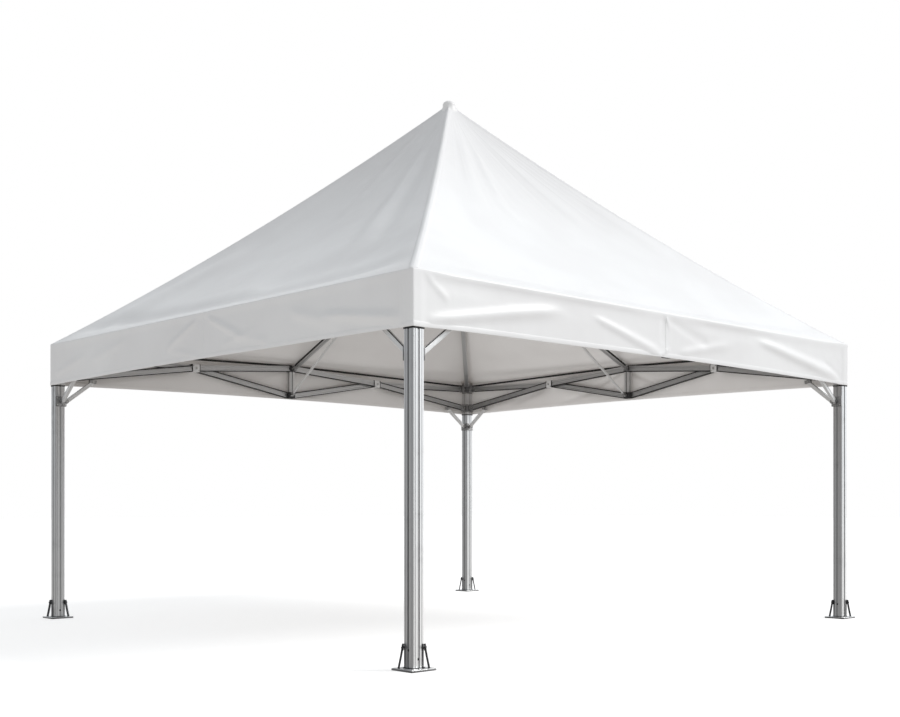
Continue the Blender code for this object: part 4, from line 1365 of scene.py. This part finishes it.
def seamShells():
    # Flat bands down each valance, and over each hip
    c = cover
    shells = []
    across, raised = bothWays(seams["valance"])
    falls = np.linspace(*seams["valanceFalls"])[:, None]
    for quarter in range(4):
        sides = sideAt(quarter, (c["seam"][quarter] + across) / (c["half"] - c["corner"]))[None, :]
        top = valancePoints(sides, falls, raised[None, :])
        shells.append(bandShell(top, valancePoints(sides, falls, -seams["valanceSunk"])))
    offsets, raised = bothWays(seams["hip"])
    rows = np.linspace(*seams["hipRows"])[:, None]
    shareIn = np.abs(offsets) / (c["tip"] + (c["half"] - c["tip"]) * rows)
    upwards = np.array([0.0, 0.0, 1.0])
    for quarter in range(4):
        sides = np.where(offsets < 0, sideAt(quarter, 1 - shareIn), sideAt(quarter + 1, shareIn - 1))
        base = roofPoints(sides, rows)
        shells.append(bandShell(base + raised[None, :, None] * upwards, base - seams["hipSunk"] * upwards))
    return shells


peak = {
    "shoulder": 4.540,
    "radius": 0.056,
    "flare": (0.010, 0.030),  # how far its foot spreads over the roof, towards -X, +Y and towards +X, -Y
    "blend": (0.25, 0.85),    # share of the wall's height that the spreading foot takes up there
    "sides": 72,
}


def onRoof(reach, angle):
    # Height of the cover at a distance and direction from the middle
    less, more = np.sort([np.abs(np.cos(angle)), np.abs(np.sin(angle))], axis=0)
    share = reach * more / cover["half"]
    return profileHeight(share) - panelDip(share, less / more)


def peakShell():
    # Soft cap: a quarter ellipse down to the shoulder, a short wall, and a foot that runs out over the four faces
    radius, shoulder = peak["radius"], peak["shoulder"]
    angle = np.linspace(0.0, 2 * math.pi, peak["sides"], endpoint=False)[None, :]
    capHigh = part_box("peak_cap")[1]
    lean = 0.5 + 0.5 * np.cos(angle + math.pi / 4)
    flare, blend = (least + (most - least) * lean for least, most in (peak["flare"], peak["blend"]))
    bow = np.radians(np.array([2.0, 12, 24, 36, 48, 60, 72, 82]))[:, None]
    run = np.linspace(0.0, 1.0, 10)[:, None]
    foot = radius + flare * run
    wall = shoulder - onRoof(foot[:1], angle)
    footHeight = onRoof(foot, angle) + wall * (blend * (1 - run) ** 2.4) + 0.0012 - 0.0022 * run ** 4
    crownHeight = shoulder + (capHigh.z - shoulder) * np.cos(bow)
    reach = np.concatenate([radius * np.sin(bow) + 0 * angle, radius + 0 * angle, foot])
    height = np.concatenate([crownHeight + 0 * angle, shoulder + 0 * angle, footHeight])
    points = np.stack([reach * np.cos(angle), reach * np.sin(angle), height], axis=-1)
    across = np.linspace(0.0, 0.35, peak["sides"] + 1)
    return closedShell(points, across, np.linspace(0.0, 0.12, len(points)), points[-1, :, :2])


def buildCover():
    c = cover
    replaced = [node + side for node in ("roof_panel_", "valance_") for side in sideNames]
    sheet = makePiece("cover_sheet", [sheetShell()], cloth, replaced, sharp=None)
    body = sheet.modifiers.new("cloth", "SOLIDIFY")
    body.thickness = c["thick"]
    body.offset = -1.0
    hem = makePiece("cover_hem", [hemShell()], trimCloth, sharp=40.0)
    bands = makePiece("cover_seams", seamShells(), trimCloth, sharp=40.0)

    # The flat net: four panels that meet at the peak, each with a valance beyond its eave
    slant = np.linspace(0.0, 1.0, 400)
    length = np.hypot(np.diff(slant) * c["half"], np.diff(profileHeight(slant))).sum()
    flat = 2 * (length + c["drop"])
    area = 4 * (c["half"] * length + 2 * c["half"] * c["drop"])
    print("cover cut:", round(flat, 3), "m square, area", round(area, 2), "square metres")

    makePiece("peak_dome", [peakShell()], domeCloth, ["peak_cap"], sharp=None)
    print("cover done")


aluminium = drawnAluminium("drawnAluminium")
# darker copy: painted shade on the bars and main struts under the canopy, and in the legs' slots
shadedAlloy = drawnAluminium("shadedAluminium", 0.80)
# lighter, less metallic copy: painted light on the knee braces, clamps and light struts
litAlloy = drawnAluminium("litAluminium", 1.12, 0.35)
casting = patchyFinish("castAlloy")
steel = galvanisedSteel()
blackened = patchyFinish("darkSteel")
zinc = patchyFinish("zincBolt")
plastic = patchyFinish("blackPlastic")
webbingFinish = blackWebbing()
cloth = coatedCloth("coatedCloth")
trimCloth = coatedCloth("weldedTrim", streaky=False)
domeCloth = coatedCloth("peakDome", False, clothLook["domePaintedGlow"], clothLook["domeTone"])

buildView()
buildLegs()
buildCorners()
buildTrusses()
buildRoofFrame()
buildCover()
